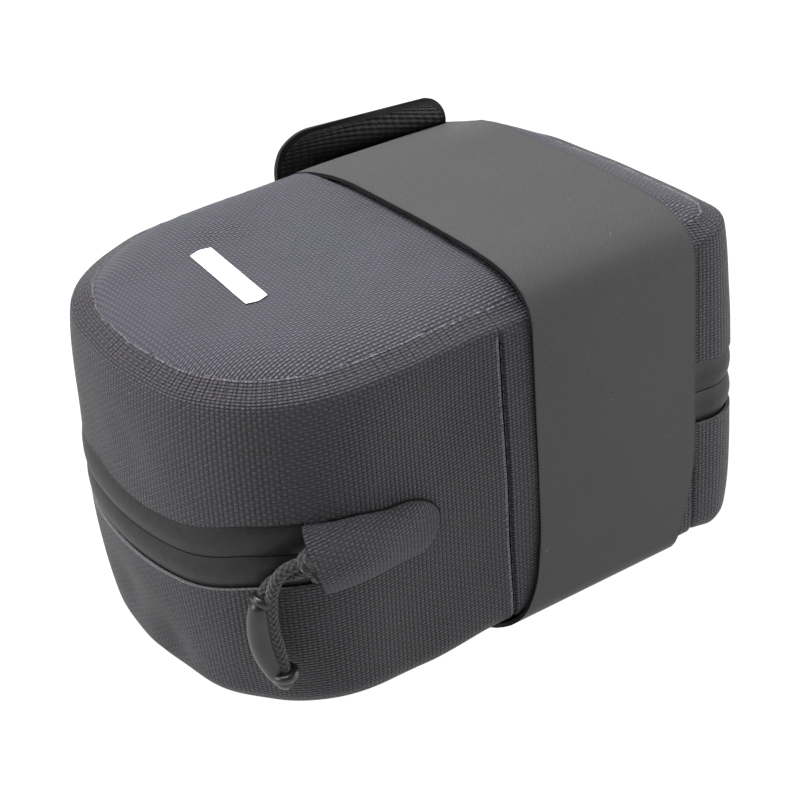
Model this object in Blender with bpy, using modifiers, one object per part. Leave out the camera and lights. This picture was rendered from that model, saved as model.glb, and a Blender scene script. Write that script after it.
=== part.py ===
"""Saddle bag: a zipped clamshell pouch of welded coated nylon, held shut and hung by a wide strap.

Frame: metres, +Z up, standing on its base. -X is the round nose, +X the flat end, -Y the side
with the zip garage and the fold, +Y the side that goes against the saddle rails.
"""

import math

import bmesh
import bpy
from mathutils import Matrix, Vector

# Bag body, measured to the cloth's outer face
HALF_LENGTH = 0.0745
END_HALF_WIDTH = 0.0533
TAPER = 0.0394
NOSE_RADIUS = 0.090
SHOULDER_RADIUS = 0.038
CORNER_RADIUS = 0.012
BASE_Z = 0.0017
TOP_EDGE_Z = 0.0902
DOME_RISE = 0.0052
WALL_BULGE = 0.0025

# Cloth and inner sheets
CLOTH = 0.0009
STIFFENER = 0.0012
FIT_GAP = 0.0003
FLANGE_WIDTH = 0.0055

# Zip
ZIP_Z = 0.0466
ZIP_HALF_BAND = 0.0090
TAPE = 0.0008
TAPE_LAP = 0.0020
TAPE_SLOT = 0.0018
COIL_HEIGHT = 0.0014
COIL_DEPTH = 0.0014
SLIDER_LENGTH = 0.0090
SLIDER_HEIGHT = 0.0070
SLIDER_PLATE = 0.0011

# Where things stand along the near side
LEFT_SEAM_X = -0.0005
RIGHT_SEAM_X = 0.0578
GARAGE_MOUTH_X = -0.0515
GARAGE_END_X = -0.0226
ZIP_FRONT_X = -0.0340
ZIP_REAR_X = 0.0500
SLIDER_X = -0.0437
GARAGE_BULGE = 0.0060
GARAGE_END_BULGE = 0.0022
GARAGE_HALF_HEIGHT = 0.0096
NOTCH_MARGIN = 0.0022
UPPER_ZIP_FRONT_X = GARAGE_MOUTH_X - 0.0030
UPPER_COIL_FRONT_X = UPPER_ZIP_FRONT_X - 0.0030

# Strap
STRAP_LEFT_X = 0.0076
STRAP_WIDTH = 0.0497
STRAP = 0.0014
STRAP_GAP = 0.0003
TAB_TOP_Z = 0.0980
ARM_END_Z = 0.0520
PATCH = 0.0007
TAB_CORNER = 0.0100

# Fold and strap pivots
FOLD_CLEARANCE = 0.0012
PIVOT_CLEARANCE = 0.0010

# Cord pull
CORD_DIAMETER = 0.0031
KNOT_WIDTH = 0.0060
GRIP_THICKNESS = 0.0056

COS_TAPER = 1 / math.hypot(1, TAPER)
TAPER_ANGLE = math.atan(TAPER)
STRAP_RIGHT_X = STRAP_LEFT_X + STRAP_WIDTH
FAR_OUTSIDE = WALL_BULGE + 4 * STRAP_GAP + 2 * STRAP + 2 * PATCH
NEAR_OUTSIDE = WALL_BULGE + STRAP_GAP + STRAP
SHIFT_Y = -(FAR_OUTSIDE - NEAR_OUTSIDE) / 2


# ---------------------------------------------------------------- plan outline


def half_width(x):
    """Half the width of the straight sides, at the wall's edges."""
    return END_HALF_WIDTH - TAPER * (HALF_LENGTH - x)


def shoulder_centre():
    """Centre of the near shoulder arc, tangent to the side and to the nose arc."""
    nose_x = -HALF_LENGTH + NOSE_RADIUS
    reach = NOSE_RADIUS - SHOULDER_RADIUS
    offset = SHOULDER_RADIUS / COS_TAPER - END_HALF_WIDTH + TAPER * HALF_LENGTH
    square = 1 + TAPER**2
    middle = nose_x + offset * TAPER
    inside = middle**2 - square * (nose_x**2 + offset**2 - reach**2)
    x = (middle - math.sqrt(inside)) / square
    return Vector((x, offset - TAPER * x))


SHOULDER = shoulder_centre()
NOSE_CENTRE = Vector((-HALF_LENGTH + NOSE_RADIUS, 0))
NOSE_ANGLE = math.asin(-SHOULDER.y / (NOSE_RADIUS - SHOULDER_RADIUS))
CORNER = Vector((HALF_LENGTH - CORNER_RADIUS, CORNER_RADIUS / COS_TAPER - END_HALF_WIDTH + TAPER * CORNER_RADIUS))
ARC_STEP = math.radians(11)


def on_arc(centre, radius, heading):
    """A point of the outline and its outward normal, where the outline runs at this heading."""
    normal = Vector((math.sin(heading), -math.cos(heading)))
    return centre + radius * normal, normal


def arc(centre, radius, start, end):
    """Points along an arc of the outline, both ends included."""
    count = max(2, math.ceil(abs(end - start) / ARC_STEP))
    return [on_arc(centre, radius, start + (end - start) * i / count) for i in range(count + 1)]


def mirrored(stations):
    """The same stations on the far side, in the order that keeps going round."""
    return [(Vector((p.x, -p.y)), Vector((n.x, -n.y))) for p, n in reversed(stations)]


def side_station(x):
    """The outline's point on the near side at x, on the straight side or the shoulder."""
    if x > SHOULDER.x - SHOULDER_RADIUS * math.sin(TAPER_ANGLE):
        normal = Vector((-TAPER, -1)).normalized()
        return Vector((x, -half_width(x))), normal
    heading = -math.asin((SHOULDER.x - x) / SHOULDER_RADIUS)
    return on_arc(SHOULDER, SHOULDER_RADIUS, heading)


def near_run(x_start, x_end, step=0.004):
    """Stations along the near side, towards the flat end."""
    count = max(1, round((x_end - x_start) / step))
    return [side_station(x_start + (x_end - x_start) * i / count) for i in range(count + 1)]


def long_way(x_start, x_end):
    """Stations from the near side at x_start, round the flat end, far side and nose, to x_end."""
    corner = arc(CORNER, CORNER_RADIUS, -TAPER_ANGLE, math.pi / 2)
    shoulder = arc(SHOULDER, SHOULDER_RADIUS, -math.pi / 2 + NOSE_ANGLE, -TAPER_ANGLE)
    nose = arc(NOSE_CENTRE, NOSE_RADIUS, -math.pi / 2 - NOSE_ANGLE, -math.pi / 2 + NOSE_ANGLE)
    kept = [s for s in shoulder if s[0].x < x_end - 0.001]
    stations = [side_station(x_start)] + corner + mirrored(corner) + mirrored(shoulder)
    return stations + nose[1:-1] + kept + [side_station(x_end)]


def whole_outline():
    """Stations all round the bag, closed."""
    return long_way(RIGHT_SEAM_X, LEFT_SEAM_X)


def bulge(z):
    """How far the filled wall stands out at this height."""
    knots = [
        (BASE_Z + 0.0035, 0.0),
        (0.014, 0.64 * WALL_BULGE),
        (0.028, WALL_BULGE),
        (0.065, WALL_BULGE),
        (0.078, 0.64 * WALL_BULGE),
        (TOP_EDGE_Z - 0.0037, 0.0),
    ]
    if z <= knots[0][0]:
        return knots[0][1]
    for (z0, b0), (z1, b1) in zip(knots, knots[1:]):
        if z <= z1:
            return b0 + (b1 - b0) * (z - z0) / (z1 - z0)
    return knots[-1][1]


def wall_levels(z_start, z_end, inset=0.0):
    """(offset, z) pairs up a stretch of wall, inset behind its outer face."""
    between = [z for z in (0.014, 0.028, 0.065, 0.078) if z_start + 0.001 < z < z_end - 0.001]
    return [(bulge(z) - inset, z) for z in [z_start, *between, z_end]]


def wall_point(x, outward, z):
    """A point beside the near wall: outward is measured from the outline."""
    point, normal = side_station(x)
    place = point + outward * normal
    return Vector((place.x, place.y, z))


# ---------------------------------------------------------------- building

for old in list(bpy.data.objects):
    bpy.data.objects.remove(old)

parts = bpy.data.collections.new("saddle_bag")
cutters = bpy.data.collections.new("saddle_bag_cutters")
bpy.context.scene.collection.children.link(parts)
bpy.context.scene.collection.children.link(cutters)
frame = bpy.data.objects.new("bag_frame", None)
frame.location = (0, SHIFT_Y, 0)
parts.objects.link(frame)


def finish(name, shape, colour, roughness, metallic=0.0, pivot=(0, 0, 0)):
    """Makes a node of a mesh or a curve, with its own material and its origin at its pivot."""
    obj = bpy.data.objects.new(name, shape)
    obj.location = pivot
    obj.parent = frame
    parts.objects.link(obj)
    material = bpy.data.materials.new(name)
    material.use_nodes = True
    shader = material.node_tree.nodes["Principled BSDF"]
    shader.inputs["Base Color"].default_value = (*colour, 1)
    shader.inputs["Roughness"].default_value = roughness
    shader.inputs["Metallic"].default_value = metallic
    shape.materials.append(material)
    return obj


def sheet_mesh(name, rows, closed=False, cap=False, pivot=(0, 0, 0)):
    """An edge path extruded through rows of points. Each row has as many points as the first."""
    bm = bmesh.new()
    index = bm.verts.layers.int.new("station")
    first = [bm.verts.new(Vector(p) - Vector(pivot)) for p in rows[0]]
    for i, vert in enumerate(first):
        vert[index] = i
    pairs = zip(first, first[1:] + first[:1]) if closed else zip(first, first[1:])
    edges = [bm.edges.new(pair) for pair in pairs]
    for row in rows[1:]:
        grown = bmesh.ops.extrude_edge_only(bm, edges=edges)["geom"]
        for vert in [g for g in grown if isinstance(g, bmesh.types.BMVert)]:
            vert.co = Vector(row[vert[index]]) - Vector(pivot)
        edges = [g for g in grown if isinstance(g, bmesh.types.BMEdge)]
        edges = [e for e in edges if all(v.co == Vector(row[v[index]]) - Vector(pivot) for v in e.verts)]
    if cap:
        bmesh.ops.contextual_create(bm, geom=edges)
    mesh = bpy.data.meshes.new(name)
    bm.to_mesh(mesh)
    bm.free()
    return mesh


def face_out(mesh, place, outward):
    """Turns an open sheet so that its face nearest to place looks along outward."""
    nearest = min(mesh.polygons, key=lambda face: (face.center - place).length)
    if nearest.normal.dot(outward) < 0:
        mesh.flip_normals()


def solidify(obj, thickness, side=-1):
    """Gives a sheet its thickness; side -1 is behind its face, 1 in front."""
    mod = obj.modifiers.new("thickness", "SOLIDIFY")
    mod.thickness = thickness
    mod.offset = side
    mod.use_even_offset = True
    return obj


def skin(name, stations, levels, thickness, colour, roughness, closed=False):
    """A wall that follows stations round the bag and levels of (offset, z) up it."""
    rows = []
    for offset, z in levels:
        rows.append([(p.x + offset * n.x, p.y + offset * n.y, z) for p, n in stations])
    mesh = sheet_mesh(name, rows, closed=closed)
    point, normal = stations[0]
    face_out(mesh, Vector((point.x, point.y, ZIP_Z)), Vector((normal.x, normal.y, 0)))
    return solidify(finish(name, mesh, colour, roughness), thickness)


def plate(name, inset, z, thickness, colour, roughness):
    """A flat sheet with the bag's outline, inset, standing on z."""
    curve = bpy.data.curves.new(name, "CURVE")
    curve.dimensions = "2D"
    curve.fill_mode = "BOTH"
    curve.extrude = thickness / 2
    stations = whole_outline()
    spline = curve.splines.new("POLY")
    spline.points.add(len(stations) - 1)
    for target, (p, n) in zip(spline.points, stations):
        target.co = (p.x - inset * n.x, p.y - inset * n.y, 0, 1)
    spline.use_cyclic_u = True
    return finish(name, curve, colour, roughness, pivot=(0, 0, z + thickness / 2))


def flat_outline(name, points, thickness, colour, roughness, metallic, matrix):
    """A flat outline extruded to both sides of its plane, placed by matrix."""
    curve = bpy.data.curves.new(name, "CURVE")
    curve.dimensions = "2D"
    curve.fill_mode = "BOTH"
    curve.extrude = thickness / 2
    spline = curve.splines.new("POLY")
    spline.points.add(len(points) - 1)
    for target, (a, b) in zip(spline.points, points):
        target.co = (a, b, 0, 1)
    spline.use_cyclic_u = True
    obj = finish(name, curve, colour, roughness, metallic)
    obj.matrix_local = matrix
    return obj


NYLON = (0.055, 0.055, 0.066)
STRAP_CLOTH = (0.070, 0.068, 0.070)
ZIP_BLACK = (0.022, 0.022, 0.024)
HOOK_BLACK = (0.010, 0.010, 0.011)

FLANGE_LEVELS = [
    (-0.0008, TOP_EDGE_Z - 0.0014),
    (-0.0023, TOP_EDGE_Z - 0.0003),
    (-FLANGE_WIDTH, TOP_EDGE_Z + 0.0004),
]
TURN_IN_LEVELS = [
    (-FLANGE_WIDTH - 0.0010, BASE_Z + CLOTH + FIT_GAP),
    (-0.0022, BASE_Z + CLOTH + FIT_GAP),
    (-0.0008, BASE_Z + CLOTH + 0.0011),
]


# ---------------------------------------------------------------- bag: lower half


def bottom_panel():
    """Base cloth, cut to the outline and welded under the gusset's turned-in edge."""
    return plate("bottom_panel", 0.0012, BASE_Z, CLOTH, NYLON, 0.72)


def base_stiffener():
    """Plastic sheet that keeps the base flat, inside the bag."""
    z = BASE_Z + 2 * CLOTH + 3 * FIT_GAP
    return plate("base_stiffener", 0.0042, z, STIFFENER, (0.02, 0.02, 0.02), 0.5)


def lower_gusset():
    """Wall from seam to seam round nose and flat end, below the zip, with its edge turned in."""
    stations = long_way(RIGHT_SEAM_X + FIT_GAP, LEFT_SEAM_X - FIT_GAP)
    levels = TURN_IN_LEVELS + wall_levels(BASE_Z + 0.0035, ZIP_Z - ZIP_HALF_BAND)
    return skin("lower_gusset", stations, levels, CLOTH, NYLON, 0.72)


def hinge_panel(name, levels):
    """Half of the plain panel between the two upright seams, which is the bag's fold."""
    stations = near_run(LEFT_SEAM_X, RIGHT_SEAM_X, step=0.031)
    return skin(name, stations, levels, CLOTH, NYLON, 0.72)


def hinge_panels():
    """The hinge panel in two halves, which meet at the fold."""
    base = wall_levels(BASE_Z + 0.0035, ZIP_Z - FIT_GAP)
    hinge_panel("hinge_panel_lower", TURN_IN_LEVELS + base)
    top = wall_levels(ZIP_Z + FIT_GAP, TOP_EDGE_Z - 0.0037)
    hinge_panel("hinge_panel_upper", top + FLANGE_LEVELS)


def near_patch():
    """Lower cloth of the near side, from the zip's front end to the left seam."""
    stations = near_run(GARAGE_END_X + NOTCH_MARGIN, LEFT_SEAM_X - FIT_GAP, step=0.009)
    levels = wall_levels(ZIP_Z - ZIP_HALF_BAND + FIT_GAP, ZIP_Z - FIT_GAP)
    return skin("gusset_front_patch", stations, levels, CLOTH, NYLON, 0.72)


def zip_tape(name, z_start, z_end, x_front):
    """Coated tape, set behind the edges of the gusset, from the rear stop round to x_front."""
    inset = CLOTH + FIT_GAP
    stations = long_way(ZIP_REAR_X, x_front)
    return skin(name, stations, wall_levels(z_start, z_end, inset), TAPE, ZIP_BLACK, 0.55)


def zip_tape_end():
    """The end of the upper tape, under the garage, where it stays with the bag."""
    inset = CLOTH + FIT_GAP
    stations = near_run(UPPER_ZIP_FRONT_X + FIT_GAP, ZIP_FRONT_X, step=0.0050)
    levels = wall_levels(ZIP_Z + TAPE_SLOT / 2, ZIP_Z + ZIP_HALF_BAND + TAPE_LAP, inset)
    skin("upper_zip_tape_end", stations, levels, TAPE, ZIP_BLACK, 0.55)


def zip_coil(name, z_start, z_end, x_front):
    """Nylon coil on the tape's inner face, drawn as a plain rib."""
    inset = CLOTH + TAPE + 2 * FIT_GAP
    stations = long_way(ZIP_REAR_X + 0.004, x_front)
    levels = wall_levels(z_start, z_end, inset)
    return skin(name, stations, levels, COIL_DEPTH, ZIP_BLACK, 0.4)


def zip_halves():
    """Both tapes and coils, either side of the slot that the slider's post runs in."""
    outer = ZIP_HALF_BAND + TAPE_LAP
    slot = TAPE_SLOT / 2
    coil = slot + COIL_HEIGHT
    zip_tape("lower_zip_tape", ZIP_Z - outer, ZIP_Z - slot, ZIP_FRONT_X)
    zip_tape("upper_zip_tape", ZIP_Z + slot, ZIP_Z + outer, UPPER_ZIP_FRONT_X)
    zip_tape_end()
    zip_coil("lower_zip_coil", ZIP_Z - coil, ZIP_Z - slot, GARAGE_MOUTH_X + 0.002)
    zip_coil("upper_zip_coil", ZIP_Z + slot, ZIP_Z + coil, UPPER_COIL_FRONT_X)


def zip_stop(name, x):
    """Moulded stop at an end of the coil, on the lower tape's inner face."""
    point, normal = side_station(x)
    bpy_mesh = bpy.data.meshes.new(name)
    bm = bmesh.new()
    bmesh.ops.create_cube(bm, size=1.0)
    bmesh.ops.scale(bm, verts=bm.verts, vec=(0.0026, COIL_DEPTH, 0.0022))
    bmesh.ops.bevel(bm, geom=bm.edges[:], offset=0.0003, segments=1, affect="EDGES")
    bm.to_mesh(bpy_mesh)
    bm.free()
    depth = WALL_BULGE - CLOTH - TAPE - 2 * FIT_GAP - COIL_DEPTH / 2
    place = point + depth * normal
    obj = finish(name, bpy_mesh, ZIP_BLACK, 0.4, pivot=(place.x, place.y, ZIP_Z - TAPE_SLOT / 2 - 0.0012))
    obj.rotation_euler.z = math.atan2(normal.x, -normal.y)
    return obj


def zip_garage():
    """Arched cloth hood over the zip's closed end, open towards the nose."""
    stations = near_run(GARAGE_MOUTH_X, GARAGE_END_X, step=0.0030)
    length = GARAGE_END_X - GARAGE_MOUTH_X
    count = 10
    rows = []
    for i in range(count + 1):
        turn = math.pi * i / count
        row = []
        for p, n in stations:
            along = (p.x - GARAGE_MOUTH_X) / length
            left = max(0.0, 1 - (GARAGE_END_X - p.x) / GARAGE_HALF_HEIGHT)
            tall = GARAGE_HALF_HEIGHT * math.sqrt(max(0.04, 1 - left**2))
            out = GARAGE_BULGE + (GARAGE_END_BULGE - GARAGE_BULGE) * along
            offset = WALL_BULGE + FIT_GAP + CLOTH + out * math.sin(turn)
            row.append((p.x + offset * n.x, p.y + offset * n.y, ZIP_Z - tall * math.cos(turn)))
        rows.append(row)
    mesh = sheet_mesh("zip_garage", rows)
    face_out(mesh, Vector(rows[5][5]), Vector((0, -1, 0)))
    return solidify(finish("zip_garage", mesh, NYLON, 0.72), CLOTH)


# ---------------------------------------------------------------- lid: upper half


def upper_gusset():
    """Wall above the zip, with its edge lapped over the top panel, cut away over the garage."""
    top = TOP_EDGE_Z - 0.0037
    main = long_way(RIGHT_SEAM_X + FIT_GAP, GARAGE_MOUTH_X - NOTCH_MARGIN)
    levels = wall_levels(ZIP_Z + ZIP_HALF_BAND, top)
    skin("upper_gusset", main, levels + FLANGE_LEVELS, CLOTH, NYLON, 0.72)
    over = near_run(GARAGE_MOUTH_X - NOTCH_MARGIN + FIT_GAP, GARAGE_END_X + NOTCH_MARGIN)
    levels = wall_levels(ZIP_Z + GARAGE_HALF_HEIGHT + NOTCH_MARGIN, top)
    skin("upper_gusset_over_garage", over, levels + FLANGE_LEVELS, CLOTH, NYLON, 0.72)
    rest = near_run(GARAGE_END_X + NOTCH_MARGIN + FIT_GAP, LEFT_SEAM_X - FIT_GAP, step=0.009)
    levels = wall_levels(ZIP_Z + FIT_GAP, top)
    skin("upper_gusset_front", rest, levels + FLANGE_LEVELS, CLOTH, NYLON, 0.72)


def dome_rows(drop):
    """Rings of the top panel: under the gusset's flange, then rising to the dome."""
    stations = whole_outline()
    rim = TOP_EDGE_Z - CLOTH - FIT_GAP
    rows = []
    for inset, z in ((0.0030, rim - 0.0006), (FLANGE_WIDTH, rim + 0.0004)):
        rows.append([(p.x - inset * n.x, p.y - inset * n.y, z - drop) for p, n in stations])
    ring = [Vector((x, y)) for x, y, _ in rows[-1]]
    for share, rise in ((0.95, 0.40), (0.88, 0.80), (0.78, 0.97), (0.68, 1.0)):
        z = TOP_EDGE_Z + rise * DOME_RISE - drop
        rows.append([(share * p.x, share * p.y, z) for p in ring])
    return rows


def top_panel():
    """Domed panel of the lid, its rim under the gusset's flange."""
    mesh = sheet_mesh("top_panel", dome_rows(0.0), closed=True, cap=True)
    if mesh.polygons[-1].normal.z < 0:
        mesh.flip_normals()
    return solidify(finish("top_panel", mesh, (0.100, 0.100, 0.118), 0.75), CLOTH)


def lid_stiffener():
    """Foam sheet that gives the lid its pillow shape, under the top panel."""
    rows = dome_rows(CLOTH + 3 * FIT_GAP)[2:]
    mesh = sheet_mesh("lid_stiffener", rows, closed=True, cap=True)
    if mesh.polygons[-1].normal.z < 0:
        mesh.flip_normals()
    return solidify(finish("lid_stiffener", mesh, (0.03, 0.03, 0.03), 0.9), STIFFENER)


# ---------------------------------------------------------------- strap


def band(name, profile, colour, thickness, pivot=(0, 0, 0), left=STRAP_LEFT_X, right=STRAP_RIGHT_X):
    """A stretch of strap: (side, offset from the outline, z) points, across the strap's width."""
    rows = []
    for side, offset, z in profile:
        rows.append([(x, side * (half_width(x) + offset), z) for x in (left, right)])
    mesh = sheet_mesh(name, rows, pivot=pivot)
    start = (Vector(rows[0][0]) + Vector(rows[1][0])) / 2
    face_out(mesh, start - Vector(pivot), Vector((0, profile[0][0], 0)))
    obj = finish(name, mesh, colour, 0.62, pivot=pivot)
    return solidify(obj, thickness, side=1)


WALL_STRAP = WALL_BULGE + STRAP_GAP
ARM_PIVOT_Z = TOP_EDGE_Z - 0.0050
TAB_PIVOT_Z = BASE_Z + 0.0032


def strap_wall(side, z_start, z_end, extra=0.0):
    """Strap points up a side wall, from z_start to z_end."""
    between = [z for z in (0.014, 0.028, 0.065, 0.078) if z_start + 0.001 < z < z_end - 0.001]
    return [(side, bulge(z) + STRAP_GAP + extra, z) for z in [z_start, *between, z_end]]


def strap_base():
    """The strap under the bag and up the near side to the fold."""
    turn = [(0.0003, BASE_Z + 0.0015), (-0.0004, BASE_Z + 0.0002), (-0.0018, STRAP)]
    near = [(-1, offset, z) for offset, z in reversed(turn)]
    far = [(1, offset, z) for offset, z in reversed(turn)]
    up = strap_wall(-1, TAB_PIVOT_Z, ZIP_Z - FIT_GAP)
    profile = list(reversed(up)) + list(reversed(near)) + far
    return band("strap_base", profile, STRAP_CLOTH, STRAP)


def strap_near_upper():
    """The strap on the near side above the fold."""
    profile = strap_wall(-1, ZIP_Z + FIT_GAP, ARM_PIVOT_Z - FIT_GAP)
    return band("strap_near_upper", profile, STRAP_CLOTH, STRAP)


def over_the_top():
    """Strap points over one shoulder of the lid, from its edge to the middle of the dome."""
    return [
        (0.0004, TOP_EDGE_Z - 0.0030),
        (-0.0004, TOP_EDGE_Z - 0.0006),
        (-0.0019, TOP_EDGE_Z + 0.0005),
        (-FLANGE_WIDTH - 0.0001, TOP_EDGE_Z + 0.0010),
        (-0.0078, TOP_EDGE_Z + 0.0026),
        (-0.0110, TOP_EDGE_Z + 0.0047),
        (-0.0156, TOP_EDGE_Z + 0.0058),
    ]


def arm_pivot():
    """A point on the axis that the strap's arm swings about, at the near top edge."""
    outward = bulge(ARM_PIVOT_Z) + STRAP_GAP + STRAP + PIVOT_CLEARANCE
    return (0, -(half_width(0) + outward), ARM_PIVOT_Z)


def tab_pivot():
    """A point on the axis that the strap's tab peels about, at the far bottom edge."""
    outward = bulge(TAB_PIVOT_Z) + STRAP_GAP + STRAP + PIVOT_CLEARANCE
    return (0, half_width(0) + outward, TAB_PIVOT_Z)


def strap_arm():
    """The strap over the lid and down the far side, with the loop patch on its end."""
    near = [(-1, offset, z) for offset, z in over_the_top()]
    far = [(1, offset, z) for offset, z in reversed(over_the_top())]
    down = list(reversed(strap_wall(1, ARM_END_Z, TOP_EDGE_Z - 0.0050)))
    start = (-1, bulge(ARM_PIVOT_Z) + STRAP_GAP, ARM_PIVOT_Z + FIT_GAP)
    band("strap_arm", [start] + near + far + down, STRAP_CLOTH, STRAP, pivot=arm_pivot())
    patch = strap_wall(1, ARM_END_Z + 0.001, 0.065, extra=STRAP + STRAP_GAP)
    band(
        "loop_patch",
        patch,
        HOOK_BLACK,
        PATCH,
        pivot=arm_pivot(),
        left=STRAP_LEFT_X + 0.002,
        right=STRAP_RIGHT_X - 0.002,
    )


def strap_tab():
    """The strap's hook end, up the far side and standing free above the lid's edge."""
    over = WALL_BULGE + 4 * STRAP_GAP + STRAP + 2 * PATCH
    rise = strap_wall(1, TAB_PIVOT_Z + FIT_GAP, ARM_END_Z - 0.010)
    profile = rise + [(1, over, ARM_END_Z - 0.0015), (1, over, TAB_TOP_Z)]
    tab = band("strap_tab", profile, STRAP_CLOTH, STRAP, pivot=tab_pivot())
    hook = [(1, over - STRAP_GAP - PATCH, ARM_END_Z + 0.001), (1, over - STRAP_GAP - PATCH, TAB_TOP_Z - 0.0015)]
    patch = band(
        "hook_patch",
        hook,
        HOOK_BLACK,
        PATCH,
        pivot=tab_pivot(),
        left=STRAP_LEFT_X + 0.001,
        right=STRAP_RIGHT_X - 0.001,
    )
    round_top_corners(tab, TAB_TOP_Z, TAB_CORNER)
    round_top_corners(patch, TAB_TOP_Z - 0.0015, TAB_CORNER - 0.001)


def round_top_corners(obj, z_top, radius):
    """Rounds the two upper corners of an upright sheet with a vertex bevel."""
    bm = bmesh.new()
    bm.from_mesh(obj.data)
    level = z_top - obj.location.z
    corners = [v for v in bm.verts if abs(v.co.z - level) < 1e-5]
    bmesh.ops.bevel(bm, geom=corners, offset=radius, segments=4, affect="VERTICES", profile=0.5)
    bm.to_mesh(obj.data)
    bm.free()


# ---------------------------------------------------------------- slider and pull


def slider_frame():
    """Matrix at the slider: X along the zip to the flat end, Y up, Z out of the wall."""
    point, normal = side_station(SLIDER_X)
    out = Vector((normal.x, normal.y, 0))
    up = Vector((0, 0, 1))
    along = up.cross(out)
    basis = Matrix((along, up, out)).transposed().to_4x4()
    basis.translation = Vector((point.x, point.y, ZIP_Z))
    return basis


TAPE_FACE = WALL_BULGE - CLOTH - FIT_GAP
PLATE_IN = TAPE_FACE + FIT_GAP
PLATE_OUT = PLATE_IN + SLIDER_PLATE
INNER_OUT = TAPE_FACE - TAPE - 2 * FIT_GAP - COIL_DEPTH - 2 * FIT_GAP
INNER_IN = INNER_OUT - SLIDER_PLATE
POST_HALF = 0.0004


def slider_body():
    """Zip slider: outer and inner plates joined by the post that parts the tapes."""
    tall = SLIDER_HEIGHT / 2
    half = [
        (POST_HALF, INNER_OUT),
        (POST_HALF, PLATE_IN),
        (tall, PLATE_IN),
        (tall - 0.0006, PLATE_OUT),
    ]
    lower = [(-a, b) for a, b in reversed(half)]
    inside = [(-POST_HALF, INNER_OUT), (-tall + 0.001, INNER_OUT), (-tall + 0.001, INNER_IN)]
    outline = half + lower + inside[1:] + [(tall - 0.001, INNER_IN), (tall - 0.001, INNER_OUT)]
    turned = slider_frame() @ Matrix(((0, 0, 1, 0), (1, 0, 0, 0), (0, 1, 0, 0), (0, 0, 0, 1)))
    return flat_outline("slider_body", outline, SLIDER_LENGTH, (0.03, 0.03, 0.032), 0.4, 0.6, turned)


def slider_bridge():
    """Arch on the slider's outer plate that carries the pull tab."""
    base = PLATE_OUT + FIT_GAP
    outline = [
        (-0.0034, base),
        (-0.0034, base + 0.0018),
        (-0.0024, base + 0.0026),
        (0.0024, base + 0.0026),
        (0.0034, base + 0.0018),
        (0.0034, base),
        (0.0024, base),
        (0.0024, base + 0.0017),
        (-0.0024, base + 0.0017),
        (-0.0024, base),
    ]
    turned = slider_frame() @ Matrix(((1, 0, 0, 0), (0, 0, -1, 0), (0, 1, 0, 0), (0, 0, 0, 1)))
    return flat_outline("slider_bridge", outline, 0.0018, (0.03, 0.03, 0.032), 0.35, 0.7, turned)


def pull_tab():
    """Flat metal tab through the bridge, with an eye for the cord."""
    name = "pull_tab"
    curve = bpy.data.curves.new(name, "CURVE")
    curve.dimensions = "2D"
    curve.fill_mode = "BOTH"
    curve.extrude = 0.0004
    bridge_hole = [(-0.0040, -0.0014), (-0.0019, -0.0014), (-0.0019, 0.0014), (-0.0040, 0.0014)]
    eye = [
        (-0.0078 + 0.0011 * math.cos(math.tau * i / 10), 0.0011 * math.sin(math.tau * i / 10))
        for i in range(10)
    ]
    outline = [(0.0008, -0.0022), (0.0008, 0.0022), (-0.0072, 0.0022)]
    outline += [
        (-0.0078 - 0.0022 * math.sin(math.pi * i / 6), 0.0022 * math.cos(math.pi * i / 6))
        for i in range(7)
    ]
    outline += [(-0.0072, -0.0022)]
    for loop in (outline, bridge_hole, eye):
        spline = curve.splines.new("POLY")
        spline.points.add(len(loop) - 1)
        for target, (a, b) in zip(spline.points, loop):
            target.co = (a, b, 0, 1)
        spline.use_cyclic_u = True
    obj = finish(name, curve, (0.03, 0.03, 0.032), 0.35, 0.7)
    height = PLATE_OUT + FIT_GAP + 0.0009
    obj.matrix_local = slider_frame() @ Matrix.Translation((0, 0, height))
    return obj


KNOT_PLACE = Vector((-0.0580, -0.0507, 0.0478))
CORD_FRONT = [
    (-0.0613, -0.0486, 0.0483),
    (-0.0636, -0.0470, 0.0464),
    (-0.0653, -0.0457, 0.0429),
    (-0.0663, -0.0448, 0.0366),
    (-0.0664, -0.0447, 0.0305),
    (-0.0659, -0.0452, 0.0246),
    (-0.0656, -0.0455, 0.0205),
]
CORD_BACK = [
    (-0.0599, -0.0473, 0.0450),
    (-0.0616, -0.0449, 0.0438),
    (-0.0636, -0.0426, 0.0424),
    (-0.0664, -0.0408, 0.0406),
    (-0.0686, -0.0404, 0.0392),
]
GRIP_LINE = [
    (-0.0692, -0.0412, 0.0366),
    (-0.0703, -0.0404, 0.0340),
    (-0.0710, -0.0399, 0.0300),
    (-0.0706, -0.0404, 0.0255),
    (-0.0692, -0.0419, 0.0205),
    (-0.0670, -0.0440, 0.0162),
    (-0.0646, -0.0461, 0.0133),
]


def smooth_route(points, spacing):
    """Points about spacing apart along a smooth curve through the route's own points."""
    guide = bpy.data.curves.new("guide", "CURVE")
    guide.dimensions = "3D"
    spline = guide.splines.new("BEZIER")
    spline.bezier_points.add(len(points) - 1)
    for knot, point in zip(spline.bezier_points, points):
        knot.co = point
        knot.handle_left_type = "AUTO"
        knot.handle_right_type = "AUTO"
    guide.resolution_u = 12
    holder = bpy.data.objects.new("guide", guide)
    line = [v.co.copy() for v in bpy.data.meshes.new_from_object(holder).vertices]
    bpy.data.objects.remove(holder)
    length = sum((b - a).length for a, b in zip(line, line[1:]))
    count = max(2, round(length / spacing))
    found = [line[0]]
    walked = 0.0
    for a, b in zip(line, line[1:]):
        step = (b - a).length
        while len(found) < count and walked + step >= length * len(found) / count:
            share = (length * len(found) / count - walked) / step
            found.append(a.lerp(b, share))
        walked += step
    return found + [line[-1]]


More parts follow.
